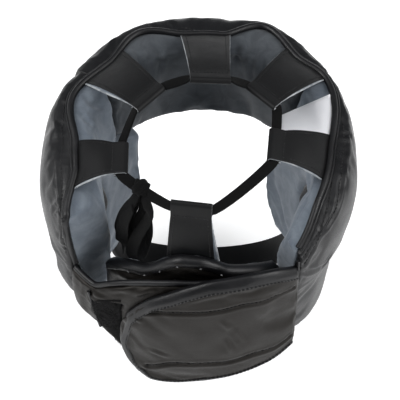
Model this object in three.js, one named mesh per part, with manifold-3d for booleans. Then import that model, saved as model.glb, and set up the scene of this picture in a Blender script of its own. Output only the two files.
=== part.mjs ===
import * as THREE from 'three';
import { mergeVertices } from 'three/addons/utils/BufferGeometryUtils.js';
import Module from 'manifold-3d';

const wasm = await Module();
wasm.setup();

// Padded boxing headgear in its worn form, lengths in millimetres.
// +Z is up, the face looks along -Y and the wearer's left is +X.
// The origin is the centre of the head opening at brow height.
// Angles are degrees about +Z, from 0 at the brow through 90 at the left ear to 180 at the nape.

// Head opening
const hollowSide = 80;
const hollowFront = 90;
const hollowRear = 88;
const crownHeight = 101;

// Padding, layer by layer outward from the opening
const liningSide = 15;
const liningFront = 12;
const liningRear = 12;
const shellLeft = 29.5;
const shellRight = 23;
const shellFront = 35;
const shellRear = 17;
const padEdge = 3.6;

// Roundness of a pad's section: upright, and towards its two ends
const fullness = 3.2;
const endFullness = 6;
const seamFill = 0.5;
// How fast the seam's swell fades below the rim, and how closely grid rows crowd at both ends
const swellFade = 2;
const endCrowding = 0.6;

// Heights: the rim above the origin, the brow and the pad bottoms below it
const rimHeight = 60;
const browDrop = 18;
const templeDrop = 5;
const cheekDrop = 115;
const leftRearDrop = 64;
const rightRearDrop = 84;

// Share by which the pads lean in from the brow down to the bottom
const jawTaper = 0.12;
const leftLean = 0.035;
const rightLean = 0.18;
const leanPower = 0.7;

// Waist that the flap's pull presses into the rear of the right pad: depth as a share of the
// radius, and its middle and reach in degrees and height
const waistDepth = 0.065;
const waistAngle = -120;
const waistReach = 28;
const waistZ = -35;
const waistHeight = 42;

// Where the pads meet, in degrees
const browAngle = 36;
const templeAngle = 54;
const leftRearAngle = 123;
const rightRearAngle = 142;

// Ear openings
const earWidth = 42;
const earHeight = 56;
const earBack = 8;
const earDrop = 32;

// Rear closure
const wingRear = 100;
const wingFlare = 14.5;
const wingDepth = 7;
const wingDrop = 98;
const wingEndAngle = 190;
const flapDepth = 8.5;
const flapRise = 22;
const flapDrop = 108;
const flapEndAngle = 148;
// Extra radius of the flap for each degree past the nape
const flapSpread = 0.06;
const napeDepth = 10.5;
const napeRise = 32;
const napeDrop = 75;
const napeStartAngle = 126;
const napeEndAngle = 217;
const patchDepth = 1.2;
// Loop field's distance from the wing's top, its degrees in from the wing's start and the flap's
// end, and its bottom as a share of the wing's
const loopSetback = 14;
const loopStart = 8;
const loopEnd = 4;
const loopBottom = 0.9;

// Straps, lace and trim
const tabRootWidth = 41;
const tabTipWidth = 29;
const tabDepth = 2.4;
const casingDepth = 4.8;
const casingLength = 13;
const laceWidth = 7.5;
const laceDepth = 1.6;
const ringRadius = 50;
const ringBack = 25;
// Height of the rear tab's root as a share of napeRise
const rearRootHeight = 0.2;
const knotRadius = 7;
// The knot's place between the left and the rear tab, and its height as a share of its width
const knotShare = 0.42;
const knotFlatness = 0.7;
// Space that the bow leaves to the nape pad, in knot radii
const bowClearance = 1.7;
const bowWidth = 9;
const bowDepth = 1.4;
const pipingRadius = 2.2;
const pipingSides = 6;
// Share of its first and last stretch that a piping leaves free
const pipingSetback = 0.3;
const chinWidth = 28;
const chinDepth = 3;
const chinDrop = 48;
const chinForward = 11;
const chinAngle = 62;
const labelDepth = 0.6;
// The label's span on the right lining's grid: along the rim, and up to it
const labelSpan = { u: [0.09, 0.34], v: [0.8, 0.98] };

// Head's dome that the lace and the bow lie on, and the share of its height where it is cut off
const domeSide = hollowSide * 1.04;
const domeFront = hollowFront * 1.11;
const domeTop = 0.95;

// Clearance between touching pieces, and between a shell and its lining
const gap = 0.35;
const seamGap = 0.8;

// Outline of the rim: height as a share of rimHeight, and how far the seam swells
// outward between the tabs as a share of the shell's depth there.
const rimLine = [
  { angle: -142, height: 0.46, swell: 0.6 },
  { angle: -120, height: 0.74, swell: 0.1 },
  { angle: -97, height: 0.82, swell: 0 },
  { angle: -57, height: 0.9, swell: 0.6 },
  { angle: -43, height: 0.95, swell: 0.35 },
  { angle: -24, height: 0.98, swell: 0.68 },
  { angle: -8, height: 1, swell: 0.05 },
  { angle: 6, height: 1, swell: 0.05 },
  { angle: 26, height: 0.98, swell: 0.5 },
  { angle: 44, height: 0.94, swell: 0.2 },
  { angle: 66, height: 0.9, swell: 0.4 },
  { angle: 92, height: 0.83, swell: 0 },
  { angle: 104, height: 0.78, swell: 0.05 },
  { angle: 123, height: 0.6, swell: 0.85 },
];

// Front edge of a cheek: degrees back from the brow's corner, and depth below the brow
// as a share of what is left down to the bottom
const cheekLine = [
  { depth: 0, back: 0 },
  { depth: 0.45, back: 2 },
  { depth: 0.8, back: 7 },
  { depth: 1, back: 16 },
];

// Wing: top height as a share of rimHeight, bottom as a share of wingDrop, flare as a share of wingFlare
const wingLine = [
  { angle: 123, top: -0.36, bottom: 0.6, flare: 1 },
  { angle: 134, top: -0.37, bottom: 0.64, flare: 0.88 },
  { angle: 142, top: -0.19, bottom: 0.77, flare: 0.64 },
  { angle: 149, top: -0.06, bottom: 0.93, flare: 0.42 },
  { angle: 160, top: 0.07, bottom: 1, flare: 0.2 },
  { angle: 171, top: 0.13, bottom: 1, flare: 0.06 },
  { angle: 190, top: 0.15, bottom: 1, flare: 0 },
];

// Flap: top as a share of flapRise, bottom as a share of flapDrop
const flapLine = [
  { angle: 148, top: -2.25, bottom: 0.6 },
  { angle: 149, top: -1.75, bottom: 0.7 },
  { angle: 152, top: -1.22, bottom: 0.84 },
  { angle: 155, top: -0.79, bottom: 0.94 },
  { angle: 160, top: -0.25, bottom: 1.01 },
  { angle: 167, top: 0.21, bottom: 1 },
  { angle: 175, top: 0.68, bottom: 0.97 },
  { angle: 185, top: 1.02, bottom: 0.93 },
  { angle: 197, top: 1.08, bottom: 0.88 },
  { angle: 206, top: 0.97, bottom: 0.84 },
  { angle: 218, top: 0.5, bottom: 0.76 },
];

// Nape pad: top as a share of napeRise
const napeLine = [
  { angle: 126, top: -0.85 },
  { angle: 134, top: -0.47 },
  { angle: 145, top: -0.07 },
  { angle: 152, top: 0.1 },
  { angle: 157.5, top: 0.34 },
  { angle: 163.5, top: 0.66 },
  { angle: 171, top: 0.86 },
  { angle: 178, top: 0.855 },
  { angle: 186, top: 0.68 },
  { angle: 191.5, top: 0.47 },
  { angle: 198, top: 0.33 },
  { angle: 206, top: 0.15 },
  { angle: 217, top: -0.15 },
];

// Tabs: root angle on the rim and root width as a share of tabRootWidth, then tip angle about
// the ring's centre and tip distance as a share of ringRadius
const tabs = [
  { name: 'tab_front', root: -1, wide: 0.86, tip: -7, reach: 0.86 },
  { name: 'tab_front_left', root: 47.5, wide: 0.93, tip: 49.6, reach: 1.05 },
  { name: 'tab_left', root: 102, wide: 0.89, tip: 94, reach: 1.195 },
  { name: 'tab_rear', root: 174, wide: 1, tip: 171, reach: 1.04, isOnNape: true },
  { name: 'tab_right', root: -100, wide: 1, tip: -90.5, reach: 1.045 },
  { name: 'tab_front_right', root: -47, wide: 0.86, tip: -48, reach: 1.2 },
];

// Bow: routes of its loops and ends over the head, with height as a share of crownHeight
// and lift above the head as a share of knotRadius. All start at the knot.
const bowRoutes = [
  [
    { angle: 140, height: 0.52, lift: 1 },
    { angle: 132, height: 0.27, lift: 1.1 },
    { angle: 125, height: 0, lift: 1 },
    { angle: 122, height: -0.14, lift: 0.6 },
    { angle: 128, height: -0.12, lift: 1.2 },
    { angle: 131, height: 0.04, lift: 1.5 },
    { angle: 135, height: 0.26, lift: 1.6 },
    { angle: 142, height: 0.5, lift: 1.5 },
  ],
  [
    { angle: 151, height: 0.54, lift: 1 },
    { angle: 151, height: 0.46, lift: 1.1 },
    { angle: 147, height: 0.32, lift: 1.2 },
    { angle: 141, height: 0.1, lift: 1.2 },
    { angle: 136, height: -0.14, lift: 1 },
  ],
  [
    { angle: 138, height: 0.44, lift: 0.5 },
    { angle: 126, height: 0.1, lift: 0.5 },
    { angle: 118, height: -0.24, lift: 0.4 },
    { angle: 115, height: -0.42, lift: 0.3 },
  ],
  [
    { angle: 146, height: 0.44, lift: 0.5 },
    { angle: 137, height: 0.12, lift: 0.4 },
    { angle: 130, height: -0.16, lift: 0.4 },
    { angle: 125, height: -0.36, lift: 0.3 },
  ],
];

const radians = THREE.MathUtils.degToRad;
const steps = (count) => Array.from({ length: count + 1 }, (_, i) => i / count);
const lerp = THREE.MathUtils.lerp;

// Height of a piping's centre line above the edge that it binds
const onEdge = pipingRadius + gap;

// Slope of a table's column at one of its rows, level where the column turns round
function slope(table, row, column, key) {
  const rise = (i) =>
    (table[i + 1][column] - table[i][column]) / (table[i + 1][key] - table[i][key]);
  if (row === 0) return rise(0);
  if (row === table.length - 1) return rise(row - 1);
  const [before, after] = [rise(row - 1), rise(row)];
  return before * after > 0 ? (2 * before * after) / (before + after) : 0;
}

// Value of one column of a table at an angle, on a smooth curve through the rows
function read(table, angle, column, key = 'angle') {
  if (angle <= table[0][key]) return table[0][column];
  for (let i = 1; i < table.length; i++) {
    const [a, b] = [table[i - 1], table[i]];
    if (angle <= b[key]) {
      const run = b[key] - a[key];
      const t = (angle - a[key]) / run;
      const leave = slope(table, i - 1, column, key) * run;
      const arrive = slope(table, i, column, key) * run;
      const blend = lerp(a[column], b[column], t * t * (3 - 2 * t));
      return blend + leave * t * (1 - t) ** 2 - arrive * t * t * (1 - t);
    }
  }
  return table[table.length - 1][column];
}

// Signed angle in -180 to 180
const signed = (angle) => ((((angle + 180) % 360) + 360) % 360) - 180;

// Radius of a plan made of two half ellipses
function plan(angle, side, front, rear) {
  const a = radians(angle);
  const depth = Math.cos(a) > 0 ? front : rear;
  return 1 / Math.hypot(Math.sin(a) / side, Math.cos(a) / depth);
}

// Depth below the brow as a share of what is left down to the bottom
const belowBrow = (z) => Math.max(0, (-browDrop - z) / (cheekDrop - browDrop));

const rimZ = (angle) => rimHeight * read(rimLine, signed(angle), 'height');

function hollow(angle, z) {
  return plan(angle, hollowSide, hollowFront, hollowRear) * (1 - jawTaper * belowBrow(z) ** 2);
}

function waist(angle, z) {
  const across = (signed(angle) - waistAngle) / waistReach;
  const upward = (z - waistZ) / waistHeight;
  return waistDepth * Math.exp(-across * across - upward * upward);
}

function outer(angle, z) {
  const turn = Math.sin(radians(angle));
  const side = hollowSide + liningSide + lerp(shellRight, shellLeft, (1 + turn) / 2);
  const front = hollowFront + liningFront + shellFront;
  const lean = (turn > 0 ? leftLean : rightLean) * turn * turn;
  const radius = plan(angle, side, front, hollowRear + liningRear + shellRear);
  return radius * (1 - lean * belowBrow(z) ** leanPower) * (1 - waist(angle, z));
}

// Sewn surface between shell and lining
function seam(angle, z) {
  const side = hollowSide + liningSide;
  const base = plan(angle, side, hollowFront + liningFront, hollowRear + liningRear);
  const under = base * (1 - jawTaper * belowBrow(z) ** 2);
  const depth = (rimZ(angle) - z) / (rimHeight + cheekDrop);
  const fade = Math.max(0, 1 - depth * depth * swellFade);
  return under + (outer(angle, z) - under) * read(rimLine, signed(angle), 'swell') * fade;
}

const polar = (angle, radius, z) =>
  new THREE.Vector3(radius * Math.sin(radians(angle)), -radius * Math.cos(radians(angle)), z);

// Degrees that give the clearance along a seam
const gapAngle = THREE.MathUtils.radToDeg(gap / (hollowSide + liningSide));

// Closed mesh from points and triangles, turned so that its faces point outward
function closed(points, triangles) {
  let volume = 0;
  for (const [a, b, c] of triangles) {
    volume += points[a].dot(new THREE.Vector3().crossVectors(points[b], points[c]));
  }
  const index = triangles.flatMap(([a, b, c]) => (volume > 0 ? [a, b, c] : [a, c, b]));
  const geometry = new THREE.BufferGeometry();
  geometry.setAttribute(
    'position',
    new THREE.Float32BufferAttribute(points.flatMap((p) => p.toArray()), 3),
  );
  geometry.setIndex(index);
  return geometry;
}

function toManifold(geometry) {
  const bare = geometry.clone();
  for (const name of Object.keys(bare.attributes)) {
    if (name !== 'position') bare.deleteAttribute(name);
  }
  const merged = mergeVertices(bare, 1e-4);
  return new wasm.Manifold(
    new wasm.Mesh({
      numProp: 3,
      vertProperties: new Float32Array(merged.attributes.position.array),
      triVerts: new Uint32Array(merged.index.array),
    }),
  );
}

function fromManifold(solid) {
  const mesh = solid.getMesh();
  const geometry = new THREE.BufferGeometry();
  geometry.setAttribute('position', new THREE.BufferAttribute(mesh.vertProperties, 3));
  geometry.setIndex(new THREE.BufferAttribute(mesh.triVerts, 1));
  return geometry;
}

function cut(geometry, ...tools) {
  let solid = toManifold(geometry);
  for (const tool of tools) solid = solid.subtract(toManifold(tool));
  return fromManifold(solid);
}

// The main body of a cut piece, without slivers
function largest(geometry) {
  const pieces = toManifold(geometry).decompose();
  return fromManifold(pieces.sort((a, b) => b.volume() - a.volume())[0]);
}

// Two grids of points, one for each face, joined round their edges
function slab(across, upward, face) {
  const points = [];
  const [columns, rows] = [across.length - 1, upward.length - 1];
  const at = (side, i, j) => (side * (columns + 1) + i) * (rows + 1) + j;
  for (const side of [0, 1]) {
    for (let i = 0; i <= columns; i++) {
      for (let j = 0; j <= rows; j++) points.push(face(side, across[i], upward[j]));
    }
  }
  const triangles = [];
  const quad = (a, b, c, d) => triangles.push([a, b, c], [a, c, d]);
  for (let i = 0; i < columns; i++) {
    for (let j = 0; j < rows; j++) {
      quad(at(0, i, j), at(0, i, j + 1), at(0, i + 1, j + 1), at(0, i + 1, j));
      quad(at(1, i, j), at(1, i + 1, j), at(1, i + 1, j + 1), at(1, i, j + 1));
    }
  }
  for (let i = 0; i < columns; i++) {
    quad(at(0, i, 0), at(0, i + 1, 0), at(1, i + 1, 0), at(1, i, 0));
    quad(at(0, i, rows), at(1, i, rows), at(1, i + 1, rows), at(0, i + 1, rows));
  }
  for (let j = 0; j < rows; j++) {
    quad(at(0, 0, j), at(1, 0, j), at(1, 0, j + 1), at(0, 0, j + 1));
    quad(at(0, columns, j), at(0, columns, j + 1), at(1, columns, j + 1), at(1, columns, j));
  }
  return closed(points, triangles);
}

// Shares from 0 to 1, closer together near both ends, with a value on each given stop
function shares(count, stops = []) {
  const values = Array.from({ length: count + 1 }, (_, i) => {
    const share = i / count;
    return lerp(share, 0.5 - 0.5 * Math.cos(Math.PI * share), endCrowding);
  });
  for (const stop of stops) {
    let nearest = 1;
    for (let i = 1; i < count; i++) {
      if (Math.abs(values[i] - stop) < Math.abs(values[nearest] - stop)) nearest = i;
    }
    values[nearest] = stop;
  }
  return values;
}

const pillow = (share, power = fullness) => (1 - Math.abs(2 * share - 1) ** power) ** (1 / power);

// Padded piece: a sewn base surface and a face that swells away from it up to a limit.
// place gives the angle and height at (u, v), base and limit give radii at an angle and height,
// and fill says how much of its depth the pad keeps at its first and last end.
function pad({ across, upward, place, base, limit, fill = [0, 0] }) {
  return slab(across, upward, (side, u, v) => {
    const { angle, z } = place(u, v);
    const from = base(angle, z);
    const depth = limit(angle, z) - from;
    const least = Math.sign(depth) * Math.min(padEdge, Math.abs(depth));
    const ends = lerp(fill[u < 0.5 ? 0 : 1], 1, pillow(u, endFullness));
    const swell = least + (depth - least) * ends * pillow(v);
    return polar(angle, from + side * swell, z);
  });
}

// Strip of a flat or round section along points with given face directions
function sweep(stations, section, isLoop = false) {
  const points = [];
  const count = stations.length;
  const sides = section.length;
  stations.forEach(({ at, up }, i) => {
    const before = stations[isLoop ? (i + count - 1) % count : Math.max(0, i - 1)].at;
    const after = stations[isLoop ? (i + 1) % count : Math.min(count - 1, i + 1)].at;
    const along = after.clone().sub(before).normalize();
    const across = new THREE.Vector3().crossVectors(along, up).normalize();
    const face = new THREE.Vector3().crossVectors(across, along);
    for (const [x, y] of section) {
      points.push(at.clone().addScaledVector(across, x).addScaledVector(face, y));
    }
  });
  const triangles = [];
  const last = isLoop ? count : count - 1;
  for (let i = 0; i < last; i++) {
    const [a, b] = [i * sides, ((i + 1) % count) * sides];
    for (let k = 0; k < sides; k++) {
      const n = (k + 1) % sides;
      triangles.push([a + k, a + n, b + n], [a + k, b + n, b + k]);
    }
  }
  if (!isLoop) {
    const end = (count - 1) * sides;
    for (let k = 1; k < sides - 1; k++) {
      triangles.push([0, k + 1, k], [end, end + k, end + k + 1]);
    }
  }
  return closed(points, triangles);
}

// Flat strap section with bevelled corners, and a round one
function flatSection(width, depth) {
  const [w, d, c] = [width / 2, depth / 2, depth / 4];
  const right = [[w - c, -d], [w, c - d], [w, d - c], [w - c, d]];
  return [...right, ...right.map(([x, y]) => [-x, -y])];
}

function roundSection(radius, sides) {
  const turn = (k) => (2 * Math.PI * k) / sides;
  return Array.from({ length: sides }, (_, k) => [radius * Math.cos(turn(k)), radius * Math.sin(turn(k))]);
}

const UP = new THREE.Vector3(0, 0, 1);

// Round cord laid along an edge, raised square to it by its own radius and the clearance
function piping(edge, radius = pipingRadius) {
  const stations = edge.map((point, i) => {
    const back = point.clone().sub(edge[Math.max(0, i - 1)]).normalize();
    const on = edge[Math.min(edge.length - 1, i + 1)].clone().sub(point).normalize();
    const along = back.clone().add(on).normalize();
    const up = UP.clone().addScaledVector(along, -along.z).normalize();
    const isEnd = i === 0 || i === edge.length - 1;
    const mitre = isEnd ? 1 : Math.sqrt((1 + back.dot(on)) / 2);
    return { at: point.clone().addScaledVector(up, onEdge / mitre), up };
  });
  return sweep(stations, roundSection(radius, pipingSides));
}

// Edge points with both ends drawn in by a share of the first and last stretch
function drawnIn(points, share) {
  const last = points.length - 1;
  points[0].lerp(points[1], share);
  points[last].lerp(points[last - 1], share);
  return points;
}

// Outer shells

// Shares of a side pad's height where the cheek ends and where the temple seam starts
const cheekShare = 0.52;
const seamShare = 0.64;
// How fast the slant of the front rows levels out towards the rear
const seamSpread = 2.2;
const foreheadStop = (1 - browAngle / templeAngle) / 2;
const foreheadShares = shares(18, [foreheadStop, 1 - foreheadStop]);
const sideShares = shares(11);
const sideRows = shares(13, [cheekShare, seamShare]);

function foreheadBottom(angle) {
  const share = Math.max(0, (Math.abs(angle) - browAngle) / (templeAngle - browAngle));
  return -lerp(browDrop, templeDrop, share);
}

function foreheadPlace(u, v) {
  const angle = lerp(-templeAngle, templeAngle, u);
  return { angle, z: lerp(foreheadBottom(angle), rimZ(angle), v) };
}

// Side pad: cheek, temple and ear. side is 1 for the wearer's left.
// Its front edge runs up the cheek, back under the forehead pad and up the temple seam.
function sidePlace(side, rearAngle, bottomRear) {
  return (u, v) => {
    const under = browDrop + gap * 2;
    const corner = templeDrop + gap * 2;
    const temple = templeAngle + gapAngle;
    const level = Math.min(v, seamShare);
    const diagonal = (level - cheekShare) / (seamShare - cheekShare);
    let front = lerp(browAngle, temple, diagonal);
    let frontZ = -lerp(under, corner, diagonal);
    if (v < cheekShare) {
      const depth = 1 - v / cheekShare;
      front = browAngle + read(cheekLine, depth, 'back', 'depth');
      frontZ = -lerp(under, cheekDrop, depth);
    }
    const angle = side * lerp(front, rearAngle, u);
    const bottom = lerp(-cheekDrop, -bottomRear, u * u);
    const straight = lerp(bottom, rimZ(angle), level);
    const z = lerp(frontZ, straight, Math.min(1, u * seamSpread));
    return { angle, z: lerp(z, rimZ(angle), Math.max(0, v - seamShare) / (1 - seamShare)) };
  };
}

// Ear opening through shell and lining, an ellipse in the side view
function earCutter(side) {
  const outline = new THREE.Shape();
  outline.absellipse(0, 0, earWidth / 2, earHeight / 2, 0, 2 * Math.PI);
  const reach = hollowSide + liningSide + shellLeft;
  const options = { depth: reach, bevelEnabled: false, curveSegments: 10 };
  const geometry = new THREE.ExtrudeGeometry(outline, options);
  geometry.rotateZ(Math.PI / 2);
  geometry.rotateY(Math.PI / 2);
  geometry.translate(side > 0 ? hollowSide / 2 : -hollowSide / 2 - reach, earBack, -earDrop);
  return geometry;
}

const foreheadPad = pad({
  across: foreheadShares,
  upward: shares(7),
  place: foreheadPlace,
  fill: [seamFill, seamFill],
  base: (angle, z) => seam(angle, z) + seamGap / 2,
  limit: outer,
});

function sidePad(side, rearAngle, bottomRear) {
  const geometry = pad({
    across: sideShares,
    upward: sideRows,
    place: sidePlace(side, rearAngle, bottomRear),
    fill: [seamFill, 0],
    base: (angle, z) => seam(angle, z) + seamGap / 2,
    limit: outer,
  });
  return cut(geometry, earCutter(side));
}

// Linings, swelling inward from the same seams

const foreheadLining = pad({
  across: foreheadShares,
  upward: shares(6),
  place: foreheadPlace,
  fill: [seamFill, seamFill],
  base: (angle, z) => seam(angle, z) - seamGap / 2,
  limit: hollow,
});

function sideLiningSurface(side, rearAngle, bottomRear) {
  return {
    across: sideShares,
    upward: sideRows,
    place: sidePlace(side, rearAngle, bottomRear),
    fill: [seamFill, 0],
    base: (angle, z) => seam(angle, z) - seamGap / 2,
    limit: hollow,
  };
}

function sideLining(side, rearAngle, bottomRear) {
  return cut(pad(sideLiningSurface(side, rearAngle, bottomRear)), earCutter(side));
}

// Rear closure: nape pad inside, left wing over it, right flap outside

const napeOuter = (angle) => plan(angle, hollowSide, hollowFront, hollowRear) + napeDepth;
const napeTop = (angle) => napeRise * read(napeLine, angle, 'top');

const napeShares = shares(14);
const napePad = pad({
  across: napeShares,
  upward: shares(5),
  place: (u, v) => {
    const angle = lerp(napeStartAngle, napeEndAngle, u);
    return { angle, z: lerp(-napeDrop, napeTop(angle), v) };
  },
  base: napeOuter,
  limit: (angle) => napeOuter(angle) - napeDepth,
});

const wingInner = (angle) => wingRear + wingFlare * read(wingLine, angle, 'flare');
const wingTop = (angle) => rimHeight * read(wingLine, angle, 'top');
const wingBottom = (angle) => -wingDrop * read(wingLine, angle, 'bottom');
const wingStartAngle = leftRearAngle + gapAngle;

const wingShares = shares(12);
const leftWing = pad({
  across: wingShares,
  upward: shares(5),
  place: (u, v) => {
    const angle = lerp(wingStartAngle, wingEndAngle, u);
    return { angle, z: lerp(wingBottom(angle), wingTop(angle), v) };
  },
  base: wingInner,
  limit: (angle) => wingInner(angle) + wingDepth,
});

const flapInner = (angle) => wingInner(angle) + wingDepth + gap;
const flapRadius = (angle) => flapInner(angle) + Math.max(0, angle - 180) * flapSpread;
const flapTop = (angle) => flapRise * read(flapLine, angle, 'top');
const flapBottom = (angle) => -flapDrop * read(flapLine, angle, 'bottom');
const flapStartAngle = 360 - rightRearAngle - gapAngle;

const rightFlap = pad({
  across: shares(18),
  upward: shares(6),
  place: (u, v) => {
    const angle = lerp(flapEndAngle, flapStartAngle, u);
    return { angle, z: lerp(flapBottom(angle), flapTop(angle), v) };
  },
  base: flapRadius,
  limit: (angle) => flapRadius(angle) + flapDepth,
});

// Loop field sewn on the wing where the flap's end closes
const loopPatch = slab(shares(6), shares(4), (side, i, j) => {
  const angle = lerp(leftRearAngle + loopStart, flapEndAngle - loopEnd, i);
  const z = lerp(wingBottom(angle) * loopBottom, wingTop(angle) - loopSetback, j);
  return polar(angle, wingInner(angle) + wingDepth + gap + side * patchDepth, z);
});

// Bound edges

function rimEdge() {
  const right = sideShares.map((u) => -lerp(templeAngle, rightRearAngle, u)).reverse();
  const front = foreheadShares.slice(1, -1).map((u) => lerp(-templeAngle, templeAngle, u));
  const left = sideShares.map((u) => lerp(templeAngle, leftRearAngle, u));
  const angles = [...right, ...front, ...left];
  return drawnIn(angles.map((angle) => polar(angle, seam(angle, rimZ(angle)), rimZ(angle))), pipingSetback);
}

const wingEdge = wingShares.map((u) => {
  const angle = lerp(wingStartAngle, wingEndAngle, u);
  return polar(angle, wingInner(angle) + padEdge / 2, wingTop(angle));
});

const napeEdge = napeShares.map((u) => {
  const angle = lerp(napeStartAngle, napeEndAngle, u);
  return polar(angle, napeOuter(angle) - padEdge / 2, napeTop(angle));
});

// Crown: tabs from the rim to a ring of lace over the head

function tabFrame({ root, wide, tip, reach, isOnNape }) {
  const halfAngle = THREE.MathUtils.radToDeg((wide * tabRootWidth) / 2 / (hollowSide + liningSide));
  const rootPoint = (s) => {
    const angle = root + s * halfAngle;
    if (isOnNape) {
      const radius = napeOuter(angle) - napeDepth - gap - tabDepth / 2;
      return polar(angle, radius, napeRise * rearRootHeight);
    }
    const z = rimZ(angle);
    return polar(angle, seam(angle, z) - pipingRadius, z + tabDepth / 2 + gap * 2);
  };
  const centre = polar(tip, reach * ringRadius, 0);
  centre.y += ringBack;
  const flat = (centre.x / domeSide) ** 2 + (centre.y / domeFront) ** 2;
  centre.z = crownHeight * Math.sqrt(Math.max(1 - domeTop, 1 - flat));
  const chord = rootPoint(1).sub(rootPoint(-1)).setZ(0).normalize();
  const ringChord = new THREE.Vector3(Math.cos(radians(tip)), Math.sin(radians(tip)), 0);
  const across = chord.add(ringChord).normalize();
  const along = centre.clone().sub(rootPoint(0)).normalize();
  const up = new THREE.Vector3().crossVectors(along, across).normalize();
  if (up.z < 0) up.negate();
  return { rootPoint, centre, across, along, up };
}

const tabFrames = tabs.map(tabFrame);

// The lace runs straight through each tip and straight on to the next
function laceStations() {
  const reach = tabTipWidth / 2 + 1;
  return tabFrames.flatMap(({ centre, across, up }) =>
    [-1, 0, 1].map((s) => ({ at: centre.clone().addScaledVector(across, s * reach), up })),
  );
}

const laceRing = (extra) =>
  sweep(laceStations(), flatSection(laceWidth + 2 * extra, laceDepth + 2 * extra), true);

// Shares of a tab's length: the strap up to casingStart, then the casing folded round the lace
const casingStart = 0.6;
const tabSteps = [0, 0.15, 0.3, 0.45, casingStart, 0.64, 0.8, 0.96, 1];
const tabRise = 3;

function tabSolid({ rootPoint, centre, across, along, up }) {
  const geometry = slab(steps(4), tabSteps, (side, i, j) => {
    const s = 2 * i - 1;
    const tipEdge = centre.clone().addScaledVector(across, (s * tabTipWidth) / 2);
    const isCasing = j > casingStart;
    const share = Math.min(1, j / casingStart);
    const point = rootPoint(s);
    const start = tipEdge.clone().addScaledVector(along, -casingLength / 2);
    point.lerp(start, share).addScaledVector(up, tabRise * 4 * share * (1 - share));
    if (isCasing) {
      point.addScaledVector(along, (casingLength * (j - casingStart)) / (1 - casingStart));
    }
    const depth = isCasing && j < 1 ? casingDepth : tabDepth;
    return point.addScaledVector(up, (side - 0.5) * depth);
  });
  return largest(cut(geometry, laceRing(gap), piping(rimEdge(), pipingRadius + gap)));
}

// Bow, tied in the span between the left and the rear tab

function knotCentre() {
  const [left, rear] = [tabFrames[2], tabFrames[3]];
  const half = tabTipWidth / 2 + 1;
  const from = left.centre.clone().addScaledVector(left.across, half);
  const to = rear.centre.clone().addScaledVector(rear.across, -half);
  return from.lerp(to, knotShare);
}

function knotSolid(extra) {
  const geometry = new THREE.SphereGeometry(1, 10, 8);
  const radius = knotRadius + extra;
  geometry.scale(radius, radius, radius * knotFlatness);
  const centre = knotCentre();
  geometry.translate(centre.x, centre.y, centre.z);
  return geometry;
}

// Surface that the bow lies on: the head's dome, kept clear of the nape pad lower down
function headSurface(angle, z) {
  const dome = plan(angle, domeSide, domeFront, domeFront);
  const height = Math.min(domeTop, Math.max(0, z / crownHeight));
  const clear = hollow(angle, z) - knotRadius * bowClearance - bowDepth;
  return Math.min(dome * Math.sqrt(1 - height * height), clear);
}

function bowRibbon(route) {
  const start = knotCentre();
  const points = route.map(({ angle, height, lift }) => {
    const z = height * crownHeight;
    return polar(angle, headSurface(angle, z) + lift * knotRadius, z);
  });
  const curve = new THREE.CatmullRomCurve3([start, ...points]);
  const stations = steps(4 * points.length).map((share) => {
    const at = curve.getPoint(share);
    return { at, up: at.clone().sub(new THREE.Vector3(0, 0, -crownHeight / 4)).normalize() };
  });
  return sweep(stations, flatSection(bowWidth, bowDepth));
}

function bowSolid() {
  let solid = toManifold(bowRibbon(bowRoutes[0]));
  for (const route of bowRoutes.slice(1)) solid = solid.add(toManifold(bowRibbon(route)));
  return largest(cut(fromManifold(solid), knotSolid(gap), laceRing(gap)));
}

// Sewn label over the top of the right lining, left bare
const labelSurface = sideLiningSurface(-1, rightRearAngle, rightRearDrop);

function labelSolid() {
  return slab(shares(5), shares(5), (side, i, j) => {
    const [u, v] = [lerp(...labelSpan.u, i), lerp(...labelSpan.v, j)];
    const { angle, z } = labelSurface.place(u, v);
    const from = labelSurface.base(angle, z);
    const depth = labelSurface.limit(angle, z) - from;
    const ends = lerp(seamFill, 1, pillow(u, endFullness));
    const swell = -padEdge + (depth + padEdge) * ends * pillow(v);
    return polar(angle, from + swell - gap * 2 - side * labelDepth, z);
  });
}

// Chin strap: one band from cheek to cheek under the chin
function chinStations() {
  const endZ = -cheekDrop - gap;
  const radius = seam(chinAngle, endZ) + padEdge / 2;
  const end = polar(chinAngle, radius, endZ);
  const straight = chinDepth;
  const bend = steps(16).map((share) => {
    const turn = Math.PI * share;
    const z = endZ - straight - chinDrop * Math.sin(turn);
    const at = new THREE.Vector3(end.x * Math.cos(turn), end.y - chinForward * Math.sin(turn), z);
    return { at, up: new THREE.Vector3(Math.cos(turn), 0, -Math.sin(turn)) };
  });
  const left = { at: end, up: bend[0].up };
  const right = { at: new THREE.Vector3(-end.x, end.y, end.z), up: bend[16].up };
  return [left, ...bend, right];
}

const chinStrap = sweep(chinStations(), flatSection(chinWidth, chinDepth));

// Materials

function matter(color, roughness) {
  return new THREE.MeshStandardMaterial({ color, roughness, metalness: 0 });
}

const leather = matter(0x242427, 0.42);
const suede = matter(0x64717d, 0.9);
const loops = matter(0x17171a, 0.95);
const lace = matter(0x1b1b1e, 0.85);
const labelCloth = matter(0xdedad8, 0.8);

const headgear = new THREE.Group();
headgear.name = 'boxing_headgear';

function add(name, geometry, material) {
  const mesh = new THREE.Mesh(geometry, material);
  mesh.name = name;
  headgear.add(mesh);
}

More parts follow.
